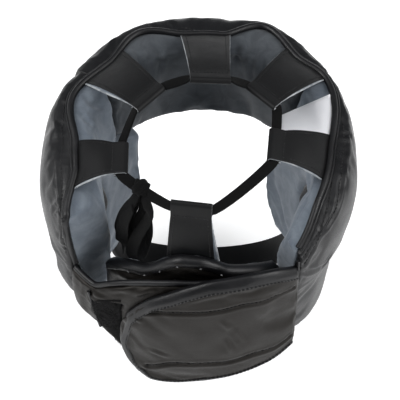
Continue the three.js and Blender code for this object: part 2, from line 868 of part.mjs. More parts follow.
add('forehead_pad', foreheadPad, leather);
add('left_side_pad', sidePad(1, leftRearAngle, leftRearDrop), leather);
add('right_side_pad', sidePad(-1, rightRearAngle, rightRearDrop), leather);
add('forehead_lining', foreheadLining, suede);
add('left_lining', sideLining(1, leftRearAngle, leftRearDrop), suede);
add('right_lining', sideLining(-1, rightRearAngle, rightRearDrop), suede);
add('nape_pad', napePad, leather);
add('left_wing', leftWing, leather);
add('loop_patch', loopPatch, loops);
add('right_flap', rightFlap, leather);
add('rim_piping', piping(rimEdge()), leather);
add('wing_piping', piping(drawnIn(wingEdge, pipingSetback)), leather);
add('nape_piping', piping(drawnIn(napeEdge, pipingSetback)), leather);
tabs.forEach(({ name }, k) => add(name, tabSolid(tabFrames[k]), leather));
add('crown_lace', laceRing(0), lace);
add('lace_knot', cut(knotSolid(0), laceRing(gap)), lace);
add('lace_bow', bowSolid(), lace);
add('size_label', labelSolid(), labelCloth);
add('chin_strap', chinStrap, leather);

export default headgear;
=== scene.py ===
# %% [markdown]
# # Padded boxing headgear
# This lesson dresses a solid model of a training headgear in leather, suede and thread.
# The solid model gives every size and place. Blender adds what a solid model leaves out:
# swollen padding, wrinkles, bound edges, stitches and cloth.
# The scene is in metres and the sizes below are in millimetres. +Z is up, the face looks
# along -Y and the wearer's left is +X.

import math

import bmesh
import bpy
import numpy as np
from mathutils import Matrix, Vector, noise
from mathutils.bvhtree import BVHTree


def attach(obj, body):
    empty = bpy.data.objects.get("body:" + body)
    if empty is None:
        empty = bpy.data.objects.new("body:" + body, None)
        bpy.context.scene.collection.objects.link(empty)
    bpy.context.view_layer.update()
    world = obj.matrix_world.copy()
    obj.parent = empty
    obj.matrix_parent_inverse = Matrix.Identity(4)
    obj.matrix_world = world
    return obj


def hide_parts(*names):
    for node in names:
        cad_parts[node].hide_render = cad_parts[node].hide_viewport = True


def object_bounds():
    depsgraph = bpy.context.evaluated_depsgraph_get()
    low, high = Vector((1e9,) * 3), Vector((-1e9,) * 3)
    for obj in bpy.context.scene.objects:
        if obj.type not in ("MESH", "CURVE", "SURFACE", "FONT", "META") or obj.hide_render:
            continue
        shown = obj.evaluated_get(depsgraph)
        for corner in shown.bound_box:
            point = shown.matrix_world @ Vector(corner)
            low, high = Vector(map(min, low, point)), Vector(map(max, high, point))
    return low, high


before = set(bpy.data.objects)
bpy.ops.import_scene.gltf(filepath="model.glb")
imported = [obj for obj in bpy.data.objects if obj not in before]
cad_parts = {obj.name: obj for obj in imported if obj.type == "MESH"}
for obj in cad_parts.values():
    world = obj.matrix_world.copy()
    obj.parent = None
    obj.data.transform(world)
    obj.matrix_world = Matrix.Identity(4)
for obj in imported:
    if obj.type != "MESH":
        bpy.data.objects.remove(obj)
CAD_LOW, CAD_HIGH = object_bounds()
scene = bpy.context.scene
print("solids:", len(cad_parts))

# %% [markdown]
# ## Camera
# The photograph looks at the back of the headgear from above, 50 degrees over the horizon.
# The camera comes first, because the wrinkles and stitch lines are later drawn in the picture
# and dropped along the line of sight on to the padding that carries them.

# %% Camera at the photograph's angle
ELEVATION = math.radians(50)
DISTANCE = 1.1
FOCAL_PIXELS = 1419
PICTURE = 400
ORIGIN_PIXEL = (203, 184.5)
SENSOR = 36

BACK = Vector((0, math.cos(ELEVATION), math.sin(ELEVATION)))
RIGHT = Vector((-1, 0, 0))
UPWARD = Vector((0, -math.sin(ELEVATION), math.cos(ELEVATION)))

lens = bpy.data.cameras.new("camera")
lens.sensor_width = SENSOR
lens.lens = SENSOR * FOCAL_PIXELS / PICTURE
lens.shift_x = (PICTURE / 2 - ORIGIN_PIXEL[0]) / PICTURE
lens.shift_y = (ORIGIN_PIXEL[1] - PICTURE / 2) / PICTURE
camera = bpy.data.objects.new("camera", lens)
camera.location = BACK * DISTANCE
camera.rotation_mode = "QUATERNION"
camera.rotation_quaternion = (-BACK).to_track_quat("-Z", "Y")
scene.collection.objects.link(camera)
scene.camera = camera


def sight_line(column, row):
    """Direction from the camera through a point of the picture."""
    across = (column - ORIGIN_PIXEL[0]) / FOCAL_PIXELS
    down = (row - ORIGIN_PIXEL[1]) / FOCAL_PIXELS
    return (-BACK + RIGHT * across - UPWARD * down).normalized()


print("lens", round(lens.lens, 1), "mm")

# %% [markdown]
# ## Sizes
# These are the sizes of the solid model, in millimetres. Angles are degrees round +Z, from 0 at
# the brow through 90 at the wearer's left ear to 180 at the nape. Each padded piece lies
# between two smooth surfaces, so two functions of angle and height describe them all.

# %% Sizes of the head opening and the padding
HOLLOW_SIDE, HOLLOW_FRONT, HOLLOW_REAR = 80, 90, 88
CROWN = 101
LINING_SIDE, LINING_END = 15, 12
SHELL_LEFT, SHELL_RIGHT, SHELL_FRONT, SHELL_REAR = 29.5, 23, 35, 17
PAD_EDGE = 3.6
FULLNESS, END_FULLNESS, SWELL_FADE = 3.2, 6, 2
RIM, BROW_DROP, TEMPLE_DROP, CHEEK_DROP = 60, 18, 5, 115
LEFT_REAR_DROP, RIGHT_REAR_DROP = 64, 84
JAW_TAPER, LEFT_LEAN, RIGHT_LEAN, LEAN_POWER = 0.12, 0.035, 0.18, 0.7
# Waist in the rear of the right pad: depth, angle, degrees of reach, height and reach of it
WAIST = (0.065, -120, 28, -35, 42)
BROW_ANGLE, TEMPLE_ANGLE, LEFT_REAR, RIGHT_REAR = 36, 54, 123, 142
EAR_WIDTH, EAR_HEIGHT, EAR_BACK, EAR_DROP = 42, 56, 8, 32
GAP, SEAM_GAP = 0.35, 0.8
PIPING = 2.2

# Angle, height as a share of the rim's, swell of the seam
RIM_LINE = [
    (-142, 0.46, 0.6), (-120, 0.74, 0.1), (-97, 0.82, 0), (-57, 0.9, 0.6), (-43, 0.95, 0.35),
    (-24, 0.98, 0.68), (-8, 1, 0.05), (6, 1, 0.05), (26, 0.98, 0.5), (44, 0.94, 0.2),
    (66, 0.9, 0.4), (92, 0.83, 0), (104, 0.78, 0.05), (123, 0.6, 0.85),
]
# Depth below the brow, degrees back from the brow's corner
CHEEK_LINE = [(0, 0), (0.45, 2), (0.8, 7), (1, 16)]
# Angle, top, bottom, flare
WING_LINE = [
    (123, -0.36, 0.6, 1), (134, -0.37, 0.64, 0.88), (142, -0.19, 0.77, 0.64),
    (149, -0.06, 0.93, 0.42), (160, 0.07, 1, 0.2), (171, 0.13, 1, 0.06), (190, 0.15, 1, 0),
]
# Angle, top, bottom
FLAP_LINE = [
    (148, -2.25, 0.6), (149, -1.75, 0.7), (152, -1.22, 0.84), (155, -0.79, 0.94), (160, -0.25, 1.01),
    (167, 0.21, 1), (175, 0.68, 0.97), (185, 1.02, 0.93), (197, 1.08, 0.88), (206, 0.97, 0.84),
    (218, 0.5, 0.76),
]
# Angle, top
NAPE_LINE = [
    (126, -0.85), (134, -0.47), (145, -0.07), (152, 0.1), (157.5, 0.34), (163.5, 0.66), (171, 0.86),
    (178, 0.855), (186, 0.68), (191.5, 0.47), (198, 0.33), (206, 0.15), (217, -0.15),
]


# %% Surfaces of the padding
def lerp(a, b, share):
    return a + (b - a) * share


def slope(table, row, column):
    """Slope of a column at one of its rows, level where the column turns round."""
    def rise(i):
        return (table[i + 1][column] - table[i][column]) / (table[i + 1][0] - table[i][0])

    if row in (0, len(table) - 1):
        return rise(min(row, len(table) - 2))
    before, after = rise(row - 1), rise(row)
    return 2 * before * after / (before + after) if before * after > 0 else 0


def read(table, key, column=1):
    """Value of one column of a table, on a smooth curve through its rows."""
    if key <= table[0][0]:
        return table[0][column]
    for i, (low, high) in enumerate(zip(table, table[1:])):
        if key <= high[0]:
            run = high[0] - low[0]
            t = (key - low[0]) / run
            blend = lerp(low[column], high[column], t * t * (3 - 2 * t))
            leave, arrive = slope(table, i, column) * run, slope(table, i + 1, column) * run
            return blend + leave * t * (1 - t) ** 2 - arrive * t * t * (1 - t)
    return table[-1][column]


def signed(angle):
    return (angle + 180) % 360 - 180


def plan(angle, side, front, rear):
    """Radius of a plan made of two half ellipses."""
    turn = math.radians(angle)
    depth = front if math.cos(turn) > 0 else rear
    return 1 / math.hypot(math.sin(turn) / side, math.cos(turn) / depth)


def below_brow(z):
    return max(0, (-BROW_DROP - z) / (CHEEK_DROP - BROW_DROP))


def rim_z(angle):
    return RIM * read(RIM_LINE, signed(angle))


def hollow(angle, z):
    return plan(angle, HOLLOW_SIDE, HOLLOW_FRONT, HOLLOW_REAR) * (1 - JAW_TAPER * below_brow(z) ** 2)


def waist(angle, z):
    depth, middle, reach, level, height = WAIST
    return depth * math.exp(-((signed(angle) - middle) / reach) ** 2 - ((z - level) / height) ** 2)


def outer(angle, z):
    turn = math.sin(math.radians(angle))
    side = HOLLOW_SIDE + LINING_SIDE + lerp(SHELL_RIGHT, SHELL_LEFT, (1 + turn) / 2)
    front = HOLLOW_FRONT + LINING_END + SHELL_FRONT
    rear = HOLLOW_REAR + LINING_END + SHELL_REAR
    lean = (LEFT_LEAN if turn > 0 else RIGHT_LEAN) * turn * turn
    return plan(angle, side, front, rear) * (1 - lean * below_brow(z) ** LEAN_POWER) * (1 - waist(angle, z))


def seam(angle, z):
    """Sewn surface between a shell and its lining."""
    side = HOLLOW_SIDE + LINING_SIDE
    base = plan(angle, side, HOLLOW_FRONT + LINING_END, HOLLOW_REAR + LINING_END)
    under = base * (1 - JAW_TAPER * below_brow(z) ** 2)
    depth = (rim_z(angle) - z) / (RIM + CHEEK_DROP)
    fade = max(0, 1 - depth * depth * SWELL_FADE)
    return under + (outer(angle, z) - under) * read(RIM_LINE, signed(angle), 2) * fade


def polar(angle, radius, z):
    turn = math.radians(angle)
    return Vector((radius * math.sin(turn), -radius * math.cos(turn), z))


def pillow(share, power=FULLNESS):
    return max(0, 1 - abs(2 * share - 1) ** power) ** (1 / power)


print("half width of the padding", round(outer(90, 0)), "and", round(outer(-90, 0)), "mm")

# %% [markdown]
# ## Making meshes
# A few small tools make every shape. `mesh_piece` turns points in millimetres into a piece,
# `loft` joins a row of rings into a strap or a roll, and `path_of` smooths a few points into
# an even line. A mesh whose faces point inward looks black at its edges and exports wrong,
# so the volume's sign decides whether the faces are turned.

# %% Mesh tools
MM = 0.001


def turn_outward(mesh):
    """Turns the faces round where a closed mesh is inside out."""
    work = bmesh.new()
    work.from_mesh(mesh)
    if work.calc_volume(signed=True) < 0:
        bmesh.ops.reverse_faces(work, faces=work.faces)
    work.to_mesh(mesh)
    work.free()


def mesh_piece(name, points, faces, materials=()):
    """A piece at the origin from points in millimetres, with its faces turned outward."""
    mesh = bpy.data.meshes.new(name)
    mesh.from_pydata([Vector(p) * MM for p in points], [], faces)
    turn_outward(mesh)
    mesh.shade_smooth()
    piece = bpy.data.objects.new(name, mesh)
    scene.collection.objects.link(piece)
    for material in materials:
        mesh.materials.append(material)
    return piece


def loft(name, rings, materials=(), is_loop=False):
    """A closed skin through rings of points, with millimetres along and round it as its UV map."""
    count, sides = len(rings), len(rings[0])
    points = [p for ring in rings for p in ring]
    faces = []
    for i in range(count if is_loop else count - 1):
        a, b = i * sides, (i + 1) % count * sides
        for k in range(sides):
            n = (k + 1) % sides
            faces.append((a + k, a + n, b + n, b + k))
    if not is_loop:
        faces.append(tuple(range(sides))[::-1])
        faces.append(tuple((count - 1) * sides + k for k in range(sides)))
    piece = mesh_piece(name, points, faces, materials)
    along = [0]
    for before, after in zip(rings, rings[1:]):
        along.append(along[-1] + (Vector(after[0]) - Vector(before[0])).length)
    round_it = [0]
    for before, after in zip(rings[0], rings[0][1:]):
        round_it.append(round_it[-1] + (Vector(after) - Vector(before)).length)
    uv = piece.data.uv_layers.new(name="UVMap")
    for loop in piece.data.loops:
        ring, k = divmod(loop.vertex_index, sides)
        uv.data[loop.index].uv = (round_it[k], along[ring])
    return piece


PATH_STEPS = 12


def path_of(points, spacing=2.0):
    """An even line, in millimetres, on a smooth curve through the points."""
    points = np.array([tuple(p) for p in points], float)
    if len(points) > 2:
        ends = np.vstack([2 * points[0] - points[1], points, 2 * points[-1] - points[-2]])
        fine = []
        for i in range(1, len(ends) - 2):
            p0, p1, p2, p3 = ends[i - 1:i + 3]
            for t in np.linspace(0, 1, PATH_STEPS, endpoint=False):
                fine.append(0.5 * (2 * p1 + (p2 - p0) * t + (2 * p0 - 5 * p1 + 4 * p2 - p3) * t * t
                                   + (3 * p1 - p0 - 3 * p2 + p3) * t ** 3))
        points = np.vstack([fine, points[-1:]])
    along = np.concatenate([[0], np.cumsum(np.linalg.norm(np.diff(points, axis=0), axis=1))])
    at = np.linspace(0, along[-1], max(2, round(along[-1] / spacing) + 1))
    return np.stack([np.interp(at, along, points[:, k]) for k in range(3)], axis=1)


def strap_rings(stations, section):
    """Rings of a flat section, placed at each station's point with its face towards up."""
    rings = []
    last = len(stations) - 1
    for i, (at, up, scale) in enumerate(stations):
        before = stations[max(0, i - 1)][0]
        after = stations[min(last, i + 1)][0]
        along = (Vector(after) - Vector(before)).normalized()
        across = along.cross(Vector(up)).normalized()
        face = across.cross(along)
        rings.append([Vector(at) + across * (x * scale) + face * y for x, y in section])
    return rings


def flat_section(width, depth, bevel=0.5):
    """A strap's section, flat with rounded corners."""
    w, d = width / 2, depth / 2
    c = d * bevel * 2
    half = [(w - c, -d), (w - 0.3 * c, -d * 0.75), (w, 0), (w - 0.3 * c, d * 0.75), (w - c, d), (0, d)]
    return half + [(-x, -y) for x, y in half]


def fit(piece, slot, *nodes, fill=None):
    """Fastens a finished piece to the headgear and hides the solids that it replaces."""
    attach(piece, "root")
    if nodes:
        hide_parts(*nodes)
    return piece


# %% [markdown]
# ## Shared effects
# Leather and suede both need colour that drifts and a fine relief. A shader node group builds
# each effect once, with named inputs, and every material then uses it with its own values.

# %% Shader node groups
def shader_group(name, inputs, outputs):
    """An empty shader node group with named sockets, and its two end nodes."""
    kinds = {"value": "NodeSocketFloat", "colour": "NodeSocketColor", "vector": "NodeSocketVector"}
    tree = bpy.data.node_groups.new(name, "ShaderNodeTree")
    for label, kind, default in inputs:
        socket = tree.interface.new_socket(label, in_out="INPUT", socket_type=kinds[kind])
        if default is not None:
            socket.default_value = default
    for label, kind in outputs:
        tree.interface.new_socket(label, in_out="OUTPUT", socket_type=kinds[kind])
    return tree, tree.nodes.new("NodeGroupInput"), tree.nodes.new("NodeGroupOutput")


def plug(tree, socket, value):
    """Links a socket where the value is another node's output, and sets it otherwise."""
    if isinstance(value, bpy.types.NodeSocket):
        tree.links.new(value, socket)
    else:
        socket.default_value = value


def add_node(tree, kind, *first_inputs, settings=None, **named_inputs):
    """A node with its settings, and a value or a link for its first inputs and for named ones."""
    made = tree.nodes.new(kind)
    for key, value in (settings or {}).items():
        setattr(made, key, value)
    for socket, value in zip(made.inputs, first_inputs):
        plug(tree, socket, value)
    for label, value in named_inputs.items():
        plug(tree, made.inputs[label.replace("_", " ")], value)
    return made


def math_node(tree, operation, a, b=0.0):
    return add_node(tree, "ShaderNodeMath", a, b, settings={"operation": operation}).outputs[0]


def grade(tree, value, low, high, to_low=0.0, to_high=1.0):
    """A value's range turned into another range."""
    made = add_node(tree, "ShaderNodeMapRange", Value=value, From_Min=low, From_Max=high, To_Min=to_low,
                    To_Max=to_high)
    return made.outputs["Result"]


# Places of the colour sockets among a mix node's inputs and outputs
MIX_SHARE, MIX_A, MIX_B, MIX_RESULT = 0, 6, 7, 2


def blend_colour(tree, share, a, b):
    made = add_node(tree, "ShaderNodeMix", settings={"data_type": "RGBA"})
    for index, value in ((MIX_SHARE, share), (MIX_A, a), (MIX_B, b)):
        plug(tree, made.inputs[index], value)
    return made.outputs[MIX_RESULT]


def times(tree, vector, factor):
    """A vector times a number."""
    return add_node(tree, "ShaderNodeVectorMath", vector, settings={"operation": "SCALE"},
                    Scale=factor).outputs[0]


def scaled(tree, vector, size):
    """A vector turned from metres into repeats of a size in metres."""
    is_input = isinstance(size, bpy.types.NodeSocket)
    return times(tree, vector, math_node(tree, "DIVIDE", 1.0, size) if is_input else 1 / size)


def build_leather_group():
    tree, start, end = shader_group(
        "leather_grain",
        [("Vector", "vector", None), ("Pebble", "value", 0.0011), ("Colour", "colour", (0.01, 0.01, 0.01, 1)),
         ("Worn Colour", "colour", (0.05, 0.05, 0.05, 1)), ("Wear", "value", 0.3),
         ("Roughness", "value", 0.4), ("Cloud", "value", 0.1)],
        [("Colour", "colour"), ("Roughness", "value"), ("Height", "value")])
    place = start.outputs["Vector"]
    cells = add_node(tree, "ShaderNodeTexVoronoi", settings={"feature": "DISTANCE_TO_EDGE"},
                     Vector=scaled(tree, place, start.outputs["Pebble"]), Scale=1.0)
    pores = add_node(tree, "ShaderNodeTexNoise", Vector=scaled(tree, place, 0.0006), Scale=1.0,
                     Detail=3.0)
    drift = add_node(tree, "ShaderNodeTexNoise", Vector=scaled(tree, place, 0.03), Scale=1.0,
                     Detail=4.0, Roughness=0.6)
    creases = add_node(tree, "ShaderNodeTexNoise", Vector=scaled(tree, place, 0.008), Scale=1.0,
                       Detail=5.0, Roughness=0.55, Distortion=0.6)
    pebble = grade(tree, cells.outputs["Distance"], 0.0, 0.22)
    crackle = grade(tree, math_node(tree, "ABSOLUTE", math_node(
        tree, "SUBTRACT", creases.outputs["Fac"], 0.5)), 0.0, 0.05)
    relief = math_node(tree, "ADD", math_node(tree, "MULTIPLY", pebble, 0.55),
                       math_node(tree, "ADD", math_node(tree, "MULTIPLY", pores.outputs["Fac"], 0.25),
                                 math_node(tree, "MULTIPLY", crackle, 0.35)))
    worn = math_node(tree, "MULTIPLY", grade(tree, drift.outputs["Fac"], 0.5, 0.75), start.outputs["Wear"])
    colour = blend_colour(tree, worn, start.outputs["Colour"], start.outputs["Worn Colour"])
    shift = math_node(tree, "MULTIPLY", grade(tree, drift.outputs["Fac"], 0.3, 0.7, -1, 1),
                      start.outputs["Cloud"])
    rough = math_node(tree, "ADD", start.outputs["Roughness"], shift)
    rough = math_node(tree, "ADD", rough, math_node(tree, "MULTIPLY", math_node(
        tree, "SUBTRACT", 1.0, pebble), 0.12))
    tree.links.new(colour, end.inputs["Colour"])
    tree.links.new(rough, end.inputs["Roughness"])
    tree.links.new(relief, end.inputs["Height"])
    return tree


def build_nap_group():
    tree, start, end = shader_group(
        "brushed_nap",
        [("Vector", "vector", None), ("Colour", "colour", (0.2, 0.2, 0.2, 1)),
         ("Brushed Colour", "colour", (0.3, 0.3, 0.3, 1)), ("Patch", "value", 0.012)],
        [("Colour", "colour"), ("Height", "value")])
    place = start.outputs["Vector"]
    fibre = add_node(tree, "ShaderNodeTexNoise", Vector=scaled(tree, place, 0.0005), Scale=1.0,
                     Detail=4.0, Roughness=0.7)
    patch = add_node(tree, "ShaderNodeTexNoise",
                     Vector=scaled(tree, place, start.outputs["Patch"]), Scale=1.0, Detail=5.0,
                     Roughness=0.6, Distortion=0.8)
    mottle = math_node(tree, "ADD", math_node(tree, "MULTIPLY", patch.outputs["Fac"], 0.75),
                       math_node(tree, "MULTIPLY", fibre.outputs["Fac"], 0.25))
    colour = blend_colour(tree, grade(tree, mottle, 0.38, 0.62), start.outputs["Colour"],
                          start.outputs["Brushed Colour"])
    tree.links.new(colour, end.inputs["Colour"])
    tree.links.new(fibre.outputs["Fac"], end.inputs["Height"])
    return tree


def build_weave_group():
    tree, start, end = shader_group(
        "woven_threads",
        [("Vector", "vector", None), ("Thread", "value", 0.5)],
        [("Mask", "value"), ("Height", "value")])
    place = times(tree, start.outputs["Vector"],
                  math_node(tree, "DIVIDE", math.pi, start.outputs["Thread"]))
    axes = add_node(tree, "ShaderNodeSeparateXYZ", Vector=place)
    across = math_node(tree, "SINE", axes.outputs["X"])
    along = math_node(tree, "SINE", axes.outputs["Y"])
    woven = math_node(tree, "MULTIPLY", across, along)
    tree.links.new(grade(tree, woven, -1, 1), end.inputs["Mask"])
    tree.links.new(math_node(tree, "ABSOLUTE", woven), end.inputs["Height"])
    return tree


LEATHER_GRAIN = build_leather_group()
BRUSHED_NAP = build_nap_group()
WOVEN_THREADS = build_weave_group()
print("node groups:", [g.name for g in bpy.data.node_groups])


# %% [markdown]
# ## Materials
# The shells are smooth coated leather with a soft sheen. The pads inside are brushed
# blue-grey suede. The lace is a flat black braid, and the closure has a field of matt loops.

# %% Materials of the headgear
def new_material(name, roughness=0.6, **sockets):
    material = bpy.data.materials.new(name)
    material.use_nodes = True
    shader = material.node_tree.nodes["Principled BSDF"]
    shader.inputs["Roughness"].default_value = roughness
    for label, value in sockets.items():
        shader.inputs[label.replace("_", " ")].default_value = value
    return material, material.node_tree, shader


def use_group(tree, group, **values):
    return add_node(tree, "ShaderNodeGroup", settings={"node_tree": group}, **values)


def object_place(tree):
    return tree.nodes.new("ShaderNodeTexCoord").outputs["Object"]


def relief(tree, shader, height, distance, strength=0.5):
    bump = add_node(tree, "ShaderNodeBump", Height=height, Strength=strength, Distance=distance)
    tree.links.new(bump.outputs["Normal"], shader.inputs["Normal"])


# How far the leather's roughness drifts
CLOUD = 0.08


def leather(name, colour, worn, wear, roughness, pebble=0.0011, gloss=0.35, depth=0.00012,
            tint=(1, 1, 1, 1)):
    material, tree, shader = new_material(name, Specular_IOR_Level=gloss, Specular_Tint=tint)
    grain = use_group(tree, LEATHER_GRAIN, Vector=object_place(tree), Pebble=pebble, Colour=(*colour, 1),
                      Worn_Colour=(*worn, 1), Wear=wear, Roughness=roughness, Cloud=CLOUD)
    tree.links.new(grain.outputs["Colour"], shader.inputs["Base Color"])
    tree.links.new(grain.outputs["Roughness"], shader.inputs["Roughness"])
    relief(tree, shader, grain.outputs["Height"], depth)
    return material


def suede(name, colour, brushed, depth=0.0002, sheen=0.25):
    material, tree, shader = new_material(name, 0.95, Specular_IOR_Level=0.15, Sheen_Weight=sheen,
                                          Sheen_Roughness=0.6)
    nap = use_group(tree, BRUSHED_NAP, Vector=object_place(tree), Colour=(*colour, 1),
                    Brushed_Colour=(*brushed, 1))
    tree.links.new(nap.outputs["Colour"], shader.inputs["Base Color"])
    relief(tree, shader, nap.outputs["Height"], depth, 0.6)
    return material


def woven(name, colour, gap_colour, thread, depth, sheen=0.2):
    material, tree, shader = new_material(name, 0.85, Specular_IOR_Level=0.1, Sheen_Weight=sheen)
    uv = add_node(tree, "ShaderNodeUVMap", settings={"uv_map": "UVMap"})
    weave = use_group(tree, WOVEN_THREADS, Vector=uv.outputs["UV"], Thread=thread)
    tint = blend_colour(tree, weave.outputs["Mask"], (*gap_colour, 1), (*colour, 1))
    tree.links.new(tint, shader.inputs["Base Color"])
    relief(tree, shader, weave.outputs["Height"], depth, 0.7)
    return material


SHELL = leather("shell_leather", (0.007, 0.007, 0.008), (0.02, 0.02, 0.022), 0.35, 0.33)
# The closure leather's brown tint is its own colour; its base is also darkened as painted shade for the
# shadowed top of the wing, and this darkens the tongue and the flap as well.
SHELL_REAR_SKIN = leather("closure_leather", (0.0058, 0.005, 0.0044), (0.016, 0.014, 0.0125), 0.35, 0.36,
                          gloss=0.2, tint=(1, 0.94, 0.88, 1))
EDGE = leather("piping_leather", (0.005, 0.005, 0.006), (0.02, 0.02, 0.022), 0.5, 0.34, pebble=0.0009)
TAB = leather("tab_leather", (0.006, 0.006, 0.0065), (0.011, 0.011, 0.012), 0.3, 0.48, pebble=0.0007,
              gloss=0.22, depth=0.00006)
SUEDE = suede("lining_suede", (0.125, 0.15, 0.185), (0.19, 0.22, 0.255))
# The brow lining's suede is a darker copy of the lining suede: painted shade that falls on it under the rim
# and the tabs.
SUEDE_BROW_PAINTED_SHADE = suede("brow_suede_painted_shade", (0.03, 0.035, 0.042), (0.056, 0.064, 0.073))
RAW_EDGE = suede("raw_edge", (0.14, 0.16, 0.18), (0.5, 0.52, 0.54))
LOOPS = suede("loop_fabric", (0.004, 0.004, 0.004), (0.009, 0.0085, 0.009), 0.0004, 0.02)
LACE = woven("lace_tape", (0.006, 0.006, 0.0062), (0.002, 0.002, 0.002), 0.7, 0.0002, 0.02)
LABEL = woven("label_cloth", (0.95, 0.95, 0.97), (0.88, 0.88, 0.92), 0.25, 0.00005, 0.3)
THREAD_DARK = suede("dark_thread", (0.01, 0.01, 0.0105), (0.035, 0.035, 0.036), 0.0001, 0.05)
# A pale thread for a few sparse stitches: painted glints of light on the dark thread.
THREAD_PAINTED_GLINT = suede("thread_painted_glint", (0.12, 0.12, 0.125), (0.3, 0.3, 0.31), 0.0001, 0.1)
print("materials:", len(bpy.data.materials))


# %% [markdown]
# ## Padded pieces
# A pad is two sheets of leather sewn round their edges with foam between. The grid below has
# one sheet on the sewn surface and one that swells away from it. A short cloth simulation then
# blows air into the free sheet while the seams stay pinned, which gives the slack and the
# puckers of real upholstery. The simulated shape is capped, so it can't leave its place.

# %% Pad grid, simulation and finish
END_CROWDING = 0.6


def shares(count):
    """Shares from 0 to 1, closer together near both ends."""
    even = np.linspace(0, 1, count + 1)
    return even * (1 - END_CROWDING) + (0.5 - 0.5 * np.cos(np.pi * even)) * END_CROWDING


def pad_piece(name, columns, rows, place, base, limit, material, fill=(0, 0), keep=None):
    """A closed pad between a sewn surface and a limit, with its seams in a vertex group. fill says
    how full both ends stay, and keep thins the pad where it has to."""
    across, upward = shares(columns), shares(rows)
    points = []
    for side in (0, 1):
        for u in across:
            for v in upward:
                angle, z = place(u, v)
                start = base(angle, z)
                depth = limit(angle, z) - start
                least = math.copysign(min(PAD_EDGE, abs(depth)), depth)
                ends = lerp(fill[0] if u < 0.5 else fill[1], 1, pillow(u, END_FULLNESS)) * pillow(v)
                if keep:
                    ends *= keep(angle, z)
                points.append(polar(angle, start + side * (least + (depth - least) * ends), z))
    tall = rows + 1
    half = (columns + 1) * tall
    faces = []
    for i in range(columns):
        for j in range(rows):
            a, b = i * tall + j, (i + 1) * tall + j
            faces.append((a, a + 1, b + 1, b))
            faces.append((half + a, half + b, half + b + 1, half + a + 1))
        a, b = i * tall, (i + 1) * tall
        faces.append((a, b, half + b, half + a))
        faces.append((a + rows, half + a + rows, half + b + rows, b + rows))
    for j in range(rows):
        faces.append((j, half + j, half + j + 1, j + 1))
        a = columns * tall + j
        faces.append((a, a + 1, half + a + 1, half + a))
    piece = mesh_piece(name, points, faces, [material])
    seams = piece.vertex_groups.new(name="seams")
    for i in range(columns + 1):
        for j in range(tall):
            edge = min(i, j, columns - i, rows - j)
            seams.add([i * tall + j], 1, "REPLACE")
            seams.add([half + i * tall + j], (1, 0.55, 0.2)[edge] if edge < 3 else 0.0, "REPLACE")
    return piece


def bake(piece):
    """Puts a piece's modifiers into its mesh."""
    graph = bpy.context.evaluated_depsgraph_get()
    mesh = bpy.data.meshes.new_from_object(piece.evaluated_get(graph))
    piece.modifiers.clear()
    piece.data = mesh
    return piece


def rows_of(items, attribute):
    """One row of three numbers for each corner of a mesh."""
    flat = np.zeros(len(items) * 3, np.float32)
    items.foreach_get(attribute, flat)
    return flat.reshape(-1, 3).astype(float)


def corners_of(mesh):
    return rows_of(mesh.vertices, "co")


def normals_of(mesh):
    return rows_of(mesh.vertex_normals, "vector")


def move_corners(mesh, corners):
    mesh.vertices.foreach_set("co", corners.astype(np.float32).ravel())
    mesh.update()


PRESSURE, AIR_FRAMES = 4.0, 20


def inflate(piece, cap, slack=0.03):
    """Swells a pad by a short cloth simulation with its seams pinned."""
    rest = corners_of(piece.data)
    cloth = piece.modifiers.new("air", "CLOTH")
    cloth.settings.use_pressure = True
    cloth.settings.uniform_pressure_force = PRESSURE
    cloth.settings.vertex_group_mass = "seams"
    cloth.settings.pin_stiffness = 5
    cloth.settings.shrink_min = -slack
    cloth.settings.mass = 0.01
    cloth.settings.tension_stiffness = 20
    cloth.settings.compression_stiffness = 20
    cloth.settings.bending_stiffness = 0.05
    cloth.settings.effector_weights.gravity = 0
    cloth.collision_settings.use_collision = False
    for frame_number in range(1, AIR_FRAMES + 1):
        scene.frame_set(frame_number)
    graph = bpy.context.evaluated_depsgraph_get()
    moved = corners_of(piece.evaluated_get(graph).data)
    piece.modifiers.clear()
    step = moved - rest
    length = np.linalg.norm(step, axis=1, keepdims=True)
    step *= cap * MM * np.tanh(length / (cap * MM)) / np.maximum(length, 1e-9)
    move_corners(piece.data, rest + step)
    scene.frame_set(1)
    print(piece.name, "swelled by up to", round(float(length.max()) / MM, 1), "mm")


def refine(piece):
    """Rounds a coarse piece."""
    smooth = piece.modifiers.new("round", "SUBSURF")
    smooth.levels = 1
    smooth.render_levels = 1
    return bake(piece)


def skin(piece):
    mesh = piece.data
    return BVHTree.FromPolygons([v.co for v in mesh.vertices], [p.vertices for p in mesh.polygons])


def seen_on(tree, line):
    """Points of the picture dropped along the line of sight on to a skin, in millimetres."""
    found = []
    for column, row in line:
        hit = tree.ray_cast(camera.location, sight_line(column, row))[0]
        if hit is not None:
            found.append(hit / MM)
    return found


# How far a groove's brush reaches, and the place and spread of the lips beside it, in widths
BRUSH_REACH, LIP_PLACE, LIP_SPREAD = 3.2, 1.9, 0.8


def press(piece, line, width, depth, lip=0.3, taper=True):
    """Presses a groove into a skin along a line, or raises a fold where depth is negative."""
    if len(line) < 2:
        return
    line = path_of(line, 0.8) * MM
    mesh = piece.data
    at = corners_of(mesh)
    reach = BRUSH_REACH * width * MM
    near = np.where(((at > line.min(0) - reach) & (at < line.max(0) + reach)).all(1))[0]
    if not len(near):
        return
    gap = np.linalg.norm(at[near][:, None] - line[None], axis=2)
    best = gap.argmin(1)
    gap = gap[np.arange(len(near)), best] / (width * MM)
    normals = normals_of(mesh)[near]
    facing = normals[gap.argmin()]
    amount = np.exp(-gap ** 2) - lip * np.exp(-((gap - LIP_PLACE) / LIP_SPREAD) ** 2)
    if taper:
        amount *= np.sin(np.pi * np.clip(best / (len(line) - 1), 0.02, 0.98)) ** 0.6
    amount *= (normals @ facing > 0.1)
    at[near] -= normals * (amount * depth * MM)[:, None]
    move_corners(mesh, at)


